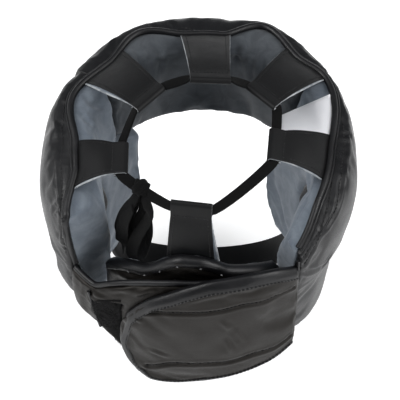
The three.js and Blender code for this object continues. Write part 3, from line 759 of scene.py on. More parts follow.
def ripple(piece, size, depth, seed):
    """Uneven hand-filled surface: slow noise along the normals."""
    mesh = piece.data
    at = corners_of(mesh)
    drift = Vector((seed * 7.3, seed * 3.1, seed))
    amount = [noise.noise(Vector(p) / (size * MM) + drift) for p in at]
    move_corners(mesh, at + normals_of(mesh) * np.array(amount)[:, None] * depth * MM)


# %% [markdown]
# ## Outer shells
# Three leather shells make the ring seen round the head: one over the brow and one down each
# side. Their grids follow the solid model's own rule, so each shell lies where its solid is.
# The leather thins towards the ear opening, where shell and lining are bound together.

# %% Places of the shells
CHEEK_SHARE, SEAM_SHARE, SEAM_SPREAD = 0.52, 0.64, 2.2
GAP_ANGLE = math.degrees(GAP / (HOLLOW_SIDE + LINING_SIDE))


def brow_bottom(angle):
    share = max(0, (abs(angle) - BROW_ANGLE) / (TEMPLE_ANGLE - BROW_ANGLE))
    return -lerp(BROW_DROP, TEMPLE_DROP, share)


def forehead_place(u, v):
    angle = lerp(-TEMPLE_ANGLE, TEMPLE_ANGLE, u)
    return angle, lerp(brow_bottom(angle), rim_z(angle), v)


def side_place(side, rear, rear_drop):
    """Grid of a side pad: up the cheek, back under the brow and up the temple seam."""
    def place(u, v):
        under, corner = BROW_DROP + GAP * 2, TEMPLE_DROP + GAP * 2
        level = min(v, SEAM_SHARE)
        slant = (level - CHEEK_SHARE) / (SEAM_SHARE - CHEEK_SHARE)
        front = lerp(BROW_ANGLE, TEMPLE_ANGLE + GAP_ANGLE, slant)
        front_z = -lerp(under, corner, slant)
        if v < CHEEK_SHARE:
            deep = 1 - v / CHEEK_SHARE
            front = BROW_ANGLE + read(CHEEK_LINE, deep)
            front_z = -lerp(under, CHEEK_DROP, deep)
        angle = side * lerp(front, rear, u)
        bottom = lerp(-CHEEK_DROP, -rear_drop, u * u)
        straight = lerp(bottom, rim_z(angle), level)
        z = lerp(front_z, straight, min(1, u * SEAM_SPREAD))
        return angle, lerp(z, rim_z(angle), max(0, v - SEAM_SHARE) / (1 - SEAM_SHARE))
    return place


def ear_reach(y, z):
    """1 on the edge of the ear opening, more outside it."""
    return math.hypot((y - EAR_BACK) / (EAR_WIDTH / 2), (z + EAR_DROP) / (EAR_HEIGHT / 2))


# Radius at which the pads are measured near the ear, fullness that is left at the opening,
# and how far from it, as a share of the opening's reach, a pad is full again
EAR_RADIUS, EAR_FULLNESS, EAR_FADE = 108, 0.12, 0.6


def thin_at_ear(angle, z):
    y = -EAR_RADIUS * math.cos(math.radians(angle))
    share = min(1, max(0, (ear_reach(y, z) - 1) / EAR_FADE))
    return lerp(EAR_FULLNESS, 1, share * share * (3 - 2 * share))


LEFT_PLACE = side_place(1, LEFT_REAR, LEFT_REAR_DROP)
RIGHT_PLACE = side_place(-1, RIGHT_REAR, RIGHT_REAR_DROP)


def on_shell(angle, z):
    return seam(angle, z) + SEAM_GAP / 2


def on_lining(angle, z):
    return seam(angle, z) - SEAM_GAP / 2


# %% Sew and fill the shells
forehead = pad_piece("forehead_shell", 76, 24, forehead_place, on_shell, outer, SHELL, fill=(0.8, 0.8))
left_shell = pad_piece("left_shell", 56, 56, LEFT_PLACE, on_shell, outer, SHELL, fill=(0.8, 0),
                       keep=thin_at_ear)
right_shell = pad_piece("right_shell", 60, 56, RIGHT_PLACE, on_shell, outer, SHELL, fill=(0.8, 0),
                        keep=thin_at_ear)
for shell, seed in ((forehead, 1), (left_shell, 2), (right_shell, 3)):
    inflate(shell, cap=2.2)
    refine(shell)
    ripple(shell, size=22, depth=0.9, seed=seed)
    print(shell.name, len(shell.data.polygons), "faces")


# %% [markdown]
# ## Linings
# The suede linings swell inward from the same seams and feel softer, so they take more air.

# %% Sew and fill the linings
# The brow lining takes the darker suede, which paints the shade under the rim and the tabs.
forehead_lining = pad_piece("forehead_suede", 60, 20, forehead_place, on_lining, hollow, SUEDE_BROW_PAINTED_SHADE,
                            fill=(0.7, 0.7))
left_lining = pad_piece("left_suede", 44, 46, LEFT_PLACE, on_lining, hollow, SUEDE, fill=(0.6, 0),
                        keep=thin_at_ear)
right_lining = pad_piece("right_suede", 48, 46, RIGHT_PLACE, on_lining, hollow, SUEDE, fill=(0.6, 0),
                         keep=thin_at_ear)
for lining, seed in ((forehead_lining, 4), (left_lining, 5), (right_lining, 6)):
    inflate(lining, cap=2.5, slack=0.05)
    refine(lining)
    ripple(lining, size=16, depth=1.1, seed=seed)
    print(lining.name, len(lining.data.polygons), "faces")

# %% [markdown]
# ## Rear closure
# Behind the head a soft tongue lies inside, a wing comes round from the left over it, and a
# wide padded flap closes from the right on to a field of loops.

# %% Surfaces of the closure
WING_REAR, WING_FLARE, WING_DEPTH, WING_DROP, WING_END = 100, 14.5, 7, 98, 190
FLAP_DEPTH, FLAP_RISE, FLAP_DROP, FLAP_END = 8.5, 22, 108, 148
NAPE_DEPTH, NAPE_RISE, NAPE_DROP, NAPE_START, NAPE_END = 10.5, 32, 75, 126, 217
FLAP_START = 360 - RIGHT_REAR - GAP_ANGLE
FLAP_SPREAD = 0.06


def nape_outer(angle, z=0):
    return plan(angle, HOLLOW_SIDE, HOLLOW_FRONT, HOLLOW_REAR) + NAPE_DEPTH


def nape_top(angle):
    return NAPE_RISE * read(NAPE_LINE, angle)


def wing_inner(angle, z=0):
    return WING_REAR + WING_FLARE * read(WING_LINE, angle, 3)


def wing_top(angle):
    return RIM * read(WING_LINE, angle)


def wing_bottom(angle):
    return -WING_DROP * read(WING_LINE, angle, 2)


def flap_inner(angle, z=0):
    return wing_inner(angle) + WING_DEPTH + GAP + max(0, angle - 180) * FLAP_SPREAD


def flap_top(angle):
    return FLAP_RISE * read(FLAP_LINE, angle)


def flap_bottom(angle):
    return -FLAP_DROP * read(FLAP_LINE, angle, 2)


# %% Tongue, wing and flap
LINING_SHARE = 0.42


def nape_place(u, v):
    angle = lerp(NAPE_START, NAPE_END, u)
    return angle, lerp(-NAPE_DROP, nape_top(angle), v)


def wing_place(u, v):
    angle = lerp(LEFT_REAR + GAP_ANGLE, WING_END, u)
    return angle, lerp(wing_bottom(angle), wing_top(angle), v)


def flap_place(u, v):
    angle = lerp(FLAP_END, FLAP_START, u)
    return angle, lerp(flap_bottom(angle), flap_top(angle), v)


def nape_middle(angle, z=0):
    return nape_outer(angle) - NAPE_DEPTH * LINING_SHARE


tongue = pad_piece("nape_tongue", 56, 32, nape_place, nape_middle, nape_outer, SHELL_REAR_SKIN)
tongue_lining = pad_piece("nape_suede", 48, 26, nape_place, lambda a, z: nape_middle(a) - GAP,
                          lambda a, z: nape_outer(a) - NAPE_DEPTH, SUEDE)
wing = pad_piece("left_wing_shell", 48, 30, wing_place, wing_inner,
                 lambda a, z: wing_inner(a) + WING_DEPTH, SHELL_REAR_SKIN)
flap = pad_piece("closure_flap", 64, 42, flap_place, flap_inner,
                 lambda a, z: flap_inner(a) + FLAP_DEPTH, SHELL_REAR_SKIN)
for part, cap, seed in ((tongue, 1.2, 7), (tongue_lining, 1.2, 8), (wing, 1.0, 9), (flap, 1.6, 10)):
    inflate(part, cap)
    refine(part)
    ripple(part, size=18, depth=0.6, seed=seed)
    print(part.name, len(part.data.polygons), "faces")

# %% Fasten the padding
# Piece, material slot, solid that it replaces, fullness
for piece, slot, node, fullness in (
        (forehead, "shell_leather", "forehead_pad", 0.8),
        (left_shell, "shell_leather", "left_side_pad", 0.8),
        (right_shell, "shell_leather", "right_side_pad", 0.8),
        (forehead_lining, "lining_suede", "forehead_lining", 0.6),
        (left_lining, "lining_suede", "left_lining", 0.6),
        (right_lining, "lining_suede", "right_lining", 0.6),
        (tongue, "shell_leather", "nape_pad", 0.5),
        (tongue_lining, "lining_suede", "nape_pad", 0.5),
        (wing, "shell_leather", "left_wing", 0.5),
        (flap, "shell_leather", "right_flap", 0.6)):
    fit(piece, slot, node, fill=fullness)

# %% [markdown]
# ## Seams, channels and wrinkles
# A stitched line pulls leather down into a groove, and leather that is gathered at a seam
# wrinkles. The lines below are drawn in the picture and dropped on to the padding, then a
# soft brush along each line moves the points of the mesh. Grooves keep one depth, wrinkles
# fade at both ends.

# %% Stitched channels
# Lines of the picture, as columns and rows of its pixels
RIM_CHANNEL = [
    (337.3, 116), (337.8, 131), (335.5, 152), (332.6, 175), (328, 205), (320, 230), (311.5, 246),
    (300.5, 260),
]
RIGHT_CHANNEL = [
    (342.5, 120), (344, 131.5), (344.5, 148), (342, 172), (339.4, 199), (334, 215), (322, 235), (313, 251),
    (306, 264),
]
LEFT_CHANNEL = [
    (64.5, 104), (62, 125), (62.5, 143), (60.6, 167), (61.5, 191), (61, 214), (62, 232), (66, 252),
]
BROW_CHANNEL = [(182, 28.2), (196, 29.8), (210, 31.5), (227, 33)]
FLAP_TOP_CHANNEL = [
    (139, 313.4), (153.3, 312.7), (176.3, 313.4), (205, 313.2), (223.6, 310.6), (245.5, 305.2),
    (268.5, 300.3), (285.5, 292.4), (294, 288),
]
FLAP_LOW_CHANNEL = [
    (147, 366), (170, 364), (195, 364.4), (228.5, 362), (252.7, 354.5), (274.5, 347.6), (290, 336),
]
WING_CHANNEL = [(90, 298.9), (93.6, 303), (101.7, 305), (112, 304.6), (122, 306)]
THREADS = []


def sewn_line(piece, picture_line, width=1.6, depth=1.1):
    """A stitched groove where the picture shows it; its thread comes later."""
    line = seen_on(skin(piece), picture_line)
    press(piece, line, width, depth, taper=False)
    THREADS.append((piece, line))


sewn_line(right_shell, RIM_CHANNEL)
sewn_line(right_shell, RIGHT_CHANNEL, 1.8, 1.4)
sewn_line(left_shell, LEFT_CHANNEL, 1.8, 1.5)
sewn_line(forehead, BROW_CHANNEL, 1.6, 1.2)
sewn_line(flap, FLAP_TOP_CHANNEL, 1.6, 1.2)
sewn_line(flap, FLAP_LOW_CHANNEL, 1.8, 1.5)
sewn_line(wing, WING_CHANNEL, 1.8, 1.2)


# %% Wrinkles of the leather
# Short lines of the picture, as columns and rows of its pixels
BROW_LEFT_WRINKLES = [
    [(150, 23.5), (156, 29)], [(157.5, 20.8), (165, 28)], [(170, 21), (176.7, 30)],
    [(85, 57.4), (93, 54), (101, 55)], [(101, 55), (109, 51)], [(106.5, 42), (105, 60)],
    [(97.6, 68), (111.6, 56)], [(96, 50), (99, 66)], [(116, 38), (112, 50)],
]
BROW_MIDDLE_WRINKLES = [
    [(189, 24), (192, 31)], [(199, 23), (201, 32)], [(208, 25), (209, 32)], [(217, 24), (216, 33)],
    [(240, 24), (243.8, 30)], [(252, 21), (258, 27)], [(268, 23), (262, 29)],
]
BROW_RIGHT_WRINKLES = [
    [(284, 37.5), (292, 42)], [(288, 44.6), (301, 53)], [(295, 50), (303, 56)], [(300, 47), (311, 50)],
    [(305, 55), (318, 54.5)],
]
RIGHT_WRINKLES = [
    [(308, 58.7), (318, 66)], [(314, 62), (317, 72)], [(321, 63), (329, 71)], [(343, 133), (352, 139)],
    [(322, 268), (333, 252)], [(302, 272), (313, 271), (323, 266)],
]
LEFT_WRINKLES = [
    [(72, 95), (66, 104)], [(58, 118), (62, 130)], [(60, 205), (52, 212)], [(66, 226), (58, 236)],
    [(80, 281), (72, 276)], [(66, 144), (69, 160), (67, 176)],
]
FLAP_FOLDS = [
    [(231, 333), (238, 346)], [(236, 330), (243, 342)], [(226, 340), (231, 352)], [(222, 322), (230, 330)],
    [(133, 317), (142, 322)], [(150, 350), (168, 357)],
]
WING_FOLDS = [[(91, 289), (97, 296), (108, 299)], [(110, 291), (128, 290)], [(135, 295), (150, 289)]]
TONGUE_FOLDS = [[(112, 272), (140, 279), (180, 276)], [(190, 270), (215, 276)]]


def wrinkles(piece, lines, width, depth):
    """Short folds drawn in the picture: raised where depth is negative."""
    tree = skin(piece)
    for picture_line in lines:
        press(piece, seen_on(tree, picture_line), width, depth, lip=0.45)


wrinkles(forehead, BROW_LEFT_WRINKLES, 1.7, 1.5)
wrinkles(forehead, BROW_MIDDLE_WRINKLES, 1.6, 0.9)
wrinkles(forehead, BROW_RIGHT_WRINKLES, 1.8, 1.7)
wrinkles(right_shell, RIGHT_WRINKLES, 1.9, 1.5)
wrinkles(left_shell, LEFT_WRINKLES, 1.8, 1.3)
wrinkles(flap, FLAP_FOLDS, 1.9, -0.9)
wrinkles(wing, WING_FOLDS, 2.0, -1.2)
wrinkles(tongue, TONGUE_FOLDS, 3.0, -1.6)

# %% Creases of the suede
# Lines of the picture, as columns and rows of its pixels
LEFT_DEEP_CREASE = [[(78, 110), (88, 122), (99, 139)]]
LEFT_CREASES = [
    [(70, 228), (86, 240), (98, 244)], [(71, 250), (84, 262), (99, 266)], [(84, 92), (92, 104), (108, 108)],
]
BROW_CREASES = [
    [(138, 50), (140, 66), (143, 76)], [(159, 44), (158.8, 70)], [(256.5, 52), (251.4, 78)],
    [(236, 46), (238, 62)], [(262, 62), (268, 74)],
]
RIGHT_CREASES = [[(310, 196), (296, 216)], [(300, 228), (288, 248)], [(298, 92), (306, 112)]]

wrinkles(left_lining, LEFT_DEEP_CREASE, 1.8, 2.2)
wrinkles(left_lining, LEFT_CREASES, 2.6, 1.5)
wrinkles(forehead_lining, BROW_CREASES, 2.6, 2.4)
wrinkles(right_lining, RIGHT_CREASES, 2.6, 1.6)
print(len(THREADS), "stitched lines")


# %% Grooves that the picture doesn't show
def on_grid(tree, place, steps):
    """Points on a pad's outer face at shares of its width and height, in millimetres."""
    found = []
    for u, v in steps:
        angle, z = place(u, v)
        hit = tree.ray_cast(polar(angle, 220, z) * MM, polar(angle, -1, 0))[0]
        if hit is not None:
            found.append(hit / MM)
    return found


def sewn_on_grid(piece, place, steps, width=1.6, depth=1.0):
    line = on_grid(skin(piece), place, steps)
    press(piece, line, width, depth, taper=False)
    THREADS.append((piece, line))


EVEN = np.linspace(0.03, 0.97, 30)
sewn_on_grid(forehead, forehead_place, [(u, 0.16) for u in EVEN])
sewn_on_grid(forehead, forehead_place, [(u, 0.58) for u in EVEN], 2.4, 2.6)
for shell, place in ((left_shell, LEFT_PLACE), (right_shell, RIGHT_PLACE)):
    sewn_on_grid(shell, place, [(0.1, v) for v in np.linspace(0.05, 0.5, 20)])
    sewn_on_grid(shell, place, [(u, 0.07) for u in EVEN])

# %% [markdown]
# ## Rolled edges, stitches and loops
# Pipings follow an edge, stitches repeat along a seam and the closure's loops cover a field.
# Geometry Nodes suit all three: a bare line or sheet goes in, and the tree's named inputs say
# how thick, how far apart and how uneven. The result is turned into a plain mesh.

# %% Geometry node recipes
def geometry_recipe(name, inputs):
    """An empty geometry tree with named inputs, its end nodes and the identifier of each input."""
    tree = bpy.data.node_groups.new(name, "GeometryNodeTree")
    tree.interface.new_socket("Geometry", in_out="INPUT", socket_type="NodeSocketGeometry")
    sockets = {}
    for label, kind, default in inputs:
        socket = tree.interface.new_socket(label, in_out="INPUT", socket_type="NodeSocket" + kind)
        if default is not None:
            socket.default_value = default
        sockets[label] = socket.identifier
    tree.interface.new_socket("Geometry", in_out="OUTPUT", socket_type="NodeSocketGeometry")
    return tree, tree.nodes.new("NodeGroupInput"), tree.nodes.new("NodeGroupOutput"), sockets


def end_recipe(tree, start, end, geometry):
    """Realizes what the tree made and gives it its material."""
    real = add_node(tree, "GeometryNodeRealizeInstances", Geometry=geometry)
    smooth = add_node(tree, "GeometryNodeSetShadeSmooth", Geometry=real.outputs[0])
    done = add_node(tree, "GeometryNodeSetMaterial", Geometry=smooth.outputs[0],
                    Material=start.outputs["Material"])
    tree.links.new(done.outputs[0], end.inputs["Geometry"])


def rolled_edge_recipe():
    tree, start, end, sockets = geometry_recipe("rolled_edge", [
        ("Radius", "Float", 0.002), ("Unevenness", "Float", 0.1), ("Sides", "Int", 12),
        ("Spacing", "Float", 0.0015), ("Seed", "Int", 1), ("Material", "Material", None)])
    line = add_node(tree, "GeometryNodeMeshToCurve", Mesh=start.outputs["Geometry"])
    even = add_node(tree, "GeometryNodeResampleCurve", settings={"mode": "LENGTH"}, Curve=line.outputs[0],
                    Length=start.outputs["Spacing"])
    place = tree.nodes.new("GeometryNodeInputPosition")
    wave = add_node(tree, "ShaderNodeTexNoise", settings={"noise_dimensions": "4D"}, Vector=place.outputs[0],
                    Scale=90.0, W=start.outputs["Seed"])
    swing = math_node(tree, "MULTIPLY", math_node(tree, "SUBTRACT", wave.outputs[0], 0.5),
                      start.outputs["Unevenness"])
    radius = math_node(tree, "MULTIPLY", math_node(tree, "ADD", 1.0, swing), start.outputs["Radius"])
    thick = add_node(tree, "GeometryNodeSetCurveRadius", Curve=even.outputs[0], Radius=radius)
    ring = add_node(tree, "GeometryNodeCurvePrimitiveCircle", Resolution=start.outputs["Sides"],
                    Radius=1.0)
    roll = add_node(tree, "GeometryNodeCurveToMesh", Curve=thick.outputs[0],
                    Profile_Curve=ring.outputs[0], Fill_Caps=True)
    if "Scale" in roll.inputs:
        tree.links.new(radius, roll.inputs["Scale"])
    end_recipe(tree, start, end, roll.outputs[0])
    return tree, sockets


def stitch_row_recipe():
    tree, start, end, sockets = geometry_recipe("stitch_row", [
        ("Pitch", "Float", 0.003), ("Length", "Float", 0.0022), ("Thread", "Float", 0.0004),
        ("Wander", "Float", 0.15), ("Seed", "Int", 1), ("Material", "Material", None)])
    line = add_node(tree, "GeometryNodeMeshToCurve", Mesh=start.outputs["Geometry"])
    spots = add_node(tree, "GeometryNodeCurveToPoints", settings={"mode": "LENGTH"}, Curve=line.outputs[0],
                     Length=start.outputs["Pitch"])
    stitch = add_node(tree, "GeometryNodeMeshUVSphere", Segments=6, Rings=5, Radius=0.5)
    thick = math_node(tree, "MULTIPLY", start.outputs["Thread"], 2.0)
    flat = add_node(tree, "ShaderNodeCombineXYZ", X=thick, Y=thick, Z=start.outputs["Length"])
    shaped = add_node(tree, "GeometryNodeTransform", Geometry=stitch.outputs[0], Scale=flat.outputs[0])
    turned = add_node(tree, "FunctionNodeAlignRotationToVector", settings={"axis": "Z"},
                      Vector=spots.outputs["Tangent"])
    low, high = (times(tree, (way, way, way), start.outputs["Wander"]) for way in (-1.0, 1.0))
    wander = add_node(tree, "FunctionNodeRandomValue", low, high, settings={"data_type": "FLOAT_VECTOR"},
                      Seed=start.outputs["Seed"])
    off = add_node(tree, "FunctionNodeRotateRotation", settings={"rotation_space": "LOCAL"},
                   Rotation=turned.outputs[0], Rotate_By=wander.outputs[0])
    row = add_node(tree, "GeometryNodeInstanceOnPoints", Points=spots.outputs[0],
                   Instance=shaped.outputs[0], Rotation=off.outputs[0])
    end_recipe(tree, start, end, row.outputs[0])
    return tree, sockets


def loop_field_recipe():
    tree, start, end, sockets = geometry_recipe("loop_field", [
        ("Density", "Float", 400000.0), ("Size", "Float", 0.0012), ("Thread", "Float", 0.00012),
        ("Seed", "Int", 1), ("Material", "Material", None)])
    spots = add_node(tree, "GeometryNodeDistributePointsOnFaces",
                     Mesh=start.outputs["Geometry"], Density=start.outputs["Density"],
                     Seed=start.outputs["Seed"])
    arc = add_node(tree, "GeometryNodeCurveArc", Resolution=5, Radius=start.outputs["Size"],
                   Sweep_Angle=math.pi * 1.1)
    upright = add_node(tree, "GeometryNodeTransform", Geometry=arc.outputs[0],
                       Rotation=(math.pi / 2, 0.0, 0.0))
    ring = add_node(tree, "GeometryNodeCurvePrimitiveCircle", Resolution=3,
                    Radius=start.outputs["Thread"])
    curl = add_node(tree, "GeometryNodeCurveToMesh", Curve=upright.outputs[0],
                    Profile_Curve=ring.outputs[0])
    spin = add_node(tree, "FunctionNodeRandomValue", (-0.5, -0.5, 0.0), (0.5, 0.5, 6.28),
                    settings={"data_type": "FLOAT_VECTOR"}, Seed=start.outputs["Seed"])
    off = add_node(tree, "FunctionNodeRotateRotation", settings={"rotation_space": "LOCAL"},
                   Rotation=spots.outputs["Rotation"], Rotate_By=spin.outputs[0])
    field = add_node(tree, "GeometryNodeInstanceOnPoints", Points=spots.outputs[0],
                     Instance=curl.outputs[0], Rotation=off.outputs[0])
    both = add_node(tree, "GeometryNodeJoinGeometry", Geometry=field.outputs[0])
    tree.links.new(start.outputs["Geometry"], both.inputs["Geometry"])
    end_recipe(tree, start, end, both.outputs[0])
    return tree, sockets


ROLLED_EDGE = rolled_edge_recipe()
STITCH_ROW = stitch_row_recipe()
LOOP_FIELD = loop_field_recipe()


def grow(piece, recipe, **values):
    """Runs a recipe on a piece and keeps the result as its mesh."""
    tree, sockets = recipe
    modifier = piece.modifiers.new(tree.name, "NODES")
    modifier.node_group = tree
    for label, value in values.items():
        modifier[sockets[label]] = value
    bake(piece)
    return piece


def on_lines(name, lines, recipe, **values):
    """Grows a recipe on open lines given in millimetres, with its faces outward."""
    points, edges = [], []
    for line in lines:
        first = len(points)
        points += [Vector(p) * MM for p in line]
        edges += [(i, i + 1) for i in range(first, len(points) - 1)]
    mesh = bpy.data.meshes.new(name)
    mesh.from_pydata(points, edges, [])
    piece = bpy.data.objects.new(name, mesh)
    scene.collection.objects.link(piece)
    grow(piece, recipe, **values)
    turn_outward(piece.data)
    return piece


def roll(name, line, radius, nodes=(), uneven=0.12, seed=1):
    piece = on_lines(name, [line], ROLLED_EDGE, Radius=radius * MM, Unevenness=uneven, Seed=seed,
                     Material=EDGE)
    return fit(piece, "piping_leather", *nodes)


print("recipes:", [t.name for t, _ in (ROLLED_EDGE, STITCH_ROW, LOOP_FIELD)])

# %% [markdown]
# ## Bound edges
# The rim's edge is rolled over a cord, with a second thin cord sewn beside it. The same roll
# goes down the left pad's rear edge, and a wider folded band binds the flap and the tongue.

# %% Rolls along the rim and the seams
RIM_ROLL, RIM_CORD, WING_ROLL, REAR_CORD = 2.6, 1.3, 2.3, 1.5
RIM_LIFT, RIM_STEP = 1.6, 1.5
CORD_OUT, CORD_LIFT = 3.1, 0.6
# Heights between which the rim's roll goes down the left pad's rear corner
CORNER_TOP, CORNER_END = 33, -19
# Radius and height at the ends of the right pad's rear seam
REAR_SEAM = ((112.6, 20), (111.5, -84))


def rim_line(out, up):
    """A line beside the rim, moved outward and upward in millimetres."""
    first, last = 1 - RIGHT_REAR, LEFT_REAR - 1
    count = round((last - first) / RIM_STEP)
    return [polar(a, seam(a, rim_z(a)) + out, rim_z(a) + up)
            for a in np.linspace(first, last, count + 1)]


rear_corner = [polar(LEFT_REAR - 0.6, seam(LEFT_REAR, z) + 0.8, z)
               for z in np.linspace(CORNER_TOP, CORNER_END, 14)]
roll("rim_roll", path_of(rim_line(0, RIM_LIFT) + rear_corner), RIM_ROLL, ["rim_piping"], 0.25)
roll("rim_cord", path_of(rim_line(CORD_OUT, CORD_LIFT)), RIM_CORD, uneven=0.25, seed=2)
wing_edge = [polar(a, wing_inner(a) + PAD_EDGE / 2, wing_top(a) + RIM_LIFT)
             for a in np.linspace(LEFT_REAR + 1, WING_END - 1, 46)]
roll("wing_roll", wing_edge, WING_ROLL, ["wing_piping"], 0.2, 3)
rear_seam = [polar(360 - RIGHT_REAR, *(lerp(top, low, t) for top, low in zip(*REAR_SEAM)))
             for t in np.linspace(0, 1, 30)]
roll("right_rear_cord", rear_seam, REAR_CORD, seed=4)

# %% Folded bands on the tongue and the flap
# Millimetres of edge for a degree at the closure's radius
ARC = 110 * math.pi / 180
# Spots on each side over which a band's radius is averaged, and how much of a face the band
# keeps clear of the piece's rounded edge
BAND_SPOTS, BAND_EDGE = 6, 2.0
# How far the stitches lie inside a band's edge, and the least depth at which a face is looked for
SEWN_INSET, FACE_DEPTH = 0.7, 2.5


def face_radius(tree, angle, z, least):
    """Distance from the axis to a skin seen from outside."""
    start = polar(angle, 200, z) * MM
    hit = tree.ray_cast(start, (polar(angle, -1, 0)).normalized())[0]
    return max(least, math.hypot(hit.x, hit.y) / MM) if hit is not None else least


def folded_band(name, edge, tree, inner, thick, width, side, nodes=(), lift=0.8):
    """A strip folded over an edge given as (angle, z) points. side is 1 where the piece lies
    to the left of the edge's direction."""
    flat = path_of([(a * ARC, z, 0) for a, z in edge], 2.0)[:, :2]
    along = np.gradient(flat, axis=0)
    along /= np.linalg.norm(along, axis=1, keepdims=True)
    inward = np.stack([-along[:, 1], along[:, 0]], axis=1) * side
    faces = {}
    window = 2 * BAND_SPOTS + 1
    for deep in (width, width - SEWN_INSET, width / 2, BAND_EDGE):
        spots = flat + inward * max(deep, FACE_DEPTH)
        skin_radius = [face_radius(tree, s / ARC, z, inner(s / ARC, z) + thick) for s, z in spots]
        longer = np.pad(skin_radius, BAND_SPOTS, mode="edge")
        faces[deep] = np.convolve(longer, np.ones(window) / window, mode="valid")
    rings, seam_line = [], []
    for i in range(len(flat)):

        def at(deep, height, is_outer=True):
            s, z = flat[i] + inward[i] * deep
            base = inner(s / ARC, z)
            if is_outer and deep in faces:
                base = faces[deep][i]
            elif is_outer:
                base = min(faces[BAND_EDGE][i], base + thick + 1.5)
            return polar(s / ARC, base + height, z)

        rings.append([
            at(width, -0.4), at(width, lift * 0.5), at(width - SEWN_INSET, lift), at(width / 2, lift * 1.1),
            at(BAND_EDGE, lift), at(0.4, lift * 0.4), at(-1.0, -thick * 0.35), at(-1.2, -thick * 0.6),
            at(-0.6, 0.2, False), at(1.5, -0.1, False), at(width * 0.8, -0.1, False),
            at(width * 0.8, 1.0, False),
        ])
        seam_line.append(at(width - SEWN_INSET, lift + 0.2))
    piece = loft(name, rings, [EDGE])
    fit(piece, "piping_leather", *nodes)
    return seam_line


TONGUE_BAND, FLAP_BAND = 5.0, 6.5
# How far the tongue's band reaches inside the tongue's middle, and over what thickness
TONGUE_UNDER, TONGUE_THICK = 3.8, 7.4
# The flap's end: degrees beyond its first angle, and height
FLAP_END_LINE = [(1.2, -47), (0.1, -58), (0, -66), (0.7, -76), (2.4, -88)]

tongue_edge = [(a, nape_top(a)) for a in np.linspace(NAPE_START + 1, NAPE_END - 1, 40)]
tongue_stitches = folded_band("tongue_band", tongue_edge, skin(tongue),
                              lambda a, z: nape_middle(a) - TONGUE_UNDER, TONGUE_THICK, TONGUE_BAND, -1,
                              ["nape_piping"], lift=0.5)
flap_edge = ([(a, flap_top(a)) for a in np.linspace(FLAP_START - 0.5, FLAP_END + 3, 34)]
             + [(FLAP_END + beyond, z) for beyond, z in FLAP_END_LINE]
             + [(a, flap_bottom(a)) for a in np.linspace(FLAP_END + 6, FLAP_START - 0.5, 30)])
flap_stitches = folded_band("flap_band", flap_edge, skin(flap), flap_inner, PAD_EDGE, FLAP_BAND, 1, lift=0.7)
print("flap band", len(flap_stitches), "rings")

# %% [markdown]
# ## Crown straps
# Six leather tabs rise from the rim to a ring of lace. Each is a strip of leather glued to a
# strip of suede: it is folded over the lace, turned back and sewn. The suede is cut a little
# wider, and its pale raw edge shows beside the black leather.

# %% Frames of the tabs
ROOT_WIDTH, TIP_WIDTH, TAB_DEPTH, TAB_RISE = 41, 29, 2.4, 3
CASING = 13
# Angle beyond which a tab starts on the tongue, and the height of its root as a share of the rise
ON_NAPE, NAPE_ROOT = 150, 0.2
RING_RADIUS, RING_BACK = 50, 25
DOME_SIDE, DOME_FRONT = HOLLOW_SIDE * 1.04, HOLLOW_FRONT * 1.11
# Name, root angle, width of the root, tip angle, reach, and how far the suede shows beside the
# leather: at the root and the middle of the side before it and the side after it
TABS = [
    ("tab_front", -1, 0.86, -7, 0.86, (0.5, 0.3), (0.5, 0.5)),
    ("tab_front_left", 47.5, 0.93, 49.6, 1.05, (0.3, 0.3), (1.2, 2.8)),
    ("tab_left", 102, 0.89, 94, 1.195, (0.3, 0.4), (1.2, 1.5)),
    ("tab_rear", 174, 1, 171, 1.04, (0.1, 0.1), (4.2, 2.4)),
    ("tab_right", -100, 1, -90.5, 1.045, (0.9, 1.3), (0.2, 0.3)),
    ("tab_front_right", -47, 0.86, -48, 1.2, (0.6, 1.4), (0.4, 0.6)),
]


def tab_frame(root, wide, tip, reach):
    """Where a tab starts on the rim, and the centre and directions of its tip."""
    half = math.degrees(wide * ROOT_WIDTH / 2 / (HOLLOW_SIDE + LINING_SIDE))

    def root_point(s):
        angle = root + s * half
        if abs(root) > ON_NAPE:
            inside = nape_outer(angle) - NAPE_DEPTH - GAP - TAB_DEPTH / 2
            return polar(angle, inside, NAPE_RISE * NAPE_ROOT)
        z = rim_z(angle)
        return polar(angle, seam(angle, z) - PIPING, z + TAB_DEPTH / 2 + GAP * 2)

    centre = polar(tip, reach * RING_RADIUS, 0)
    centre.y += RING_BACK
    away = (centre.x / DOME_SIDE) ** 2 + (centre.y / DOME_FRONT) ** 2
    centre.z = CROWN * math.sqrt(max(0.05, 1 - away))
    chord = root_point(1) - root_point(-1)
    chord.z = 0
    turn = math.radians(tip)
    across = (chord.normalized() + Vector((math.cos(turn), math.sin(turn), 0))).normalized()
    along = (centre - root_point(0)).normalized()
    up = along.cross(across).normalized()
    return root_point, centre, across, along, up if up.z > 0 else -up


FRAMES = [tab_frame(*row[1:5]) for row in TABS]


# %% Fold a tab round the lace
def tab_path():
    """Steps of a tab: share of the strap, then place along and above the tip's centre, and lean."""
    strap = [("strap", t, 0, 0) for t in np.linspace(0, 1, 15)]
    climb = [("tip", -4.0, 1.55, 0.0), ("tip", 0, 1.6, 0.0), ("tip", 3.0, 1.5, 0.0)]
    turn = [("tip", 3.6 + 1.55 * math.sin(a), 1.5 * math.cos(a), a)
            for a in np.linspace(0.3, math.pi - 0.3, 6)]
    back = [("tip", a, -1.5, math.pi) for a in (3.0, 0, -4, -6.4)]
    return strap + climb + turn + back


# Share of the strap where it starts to lift, its lift at the fold, and its hump across the width
LIFT_START, FOLD_LIFT, TAB_HUMP = 0.4, 1.5, 0.9


def tab_bulge(share, s):
    """Height of a strap over the straight line from its root to its fold."""
    rise = max(0, share - LIFT_START) / (1 - LIFT_START)
    hump = TAB_HUMP * (1 - s * s) * math.sin(math.pi * min(1, share * 1.1))
    return TAB_RISE * 4 * share * (1 - share) + hump + FOLD_LIFT * rise * rise * (3 - 2 * rise)


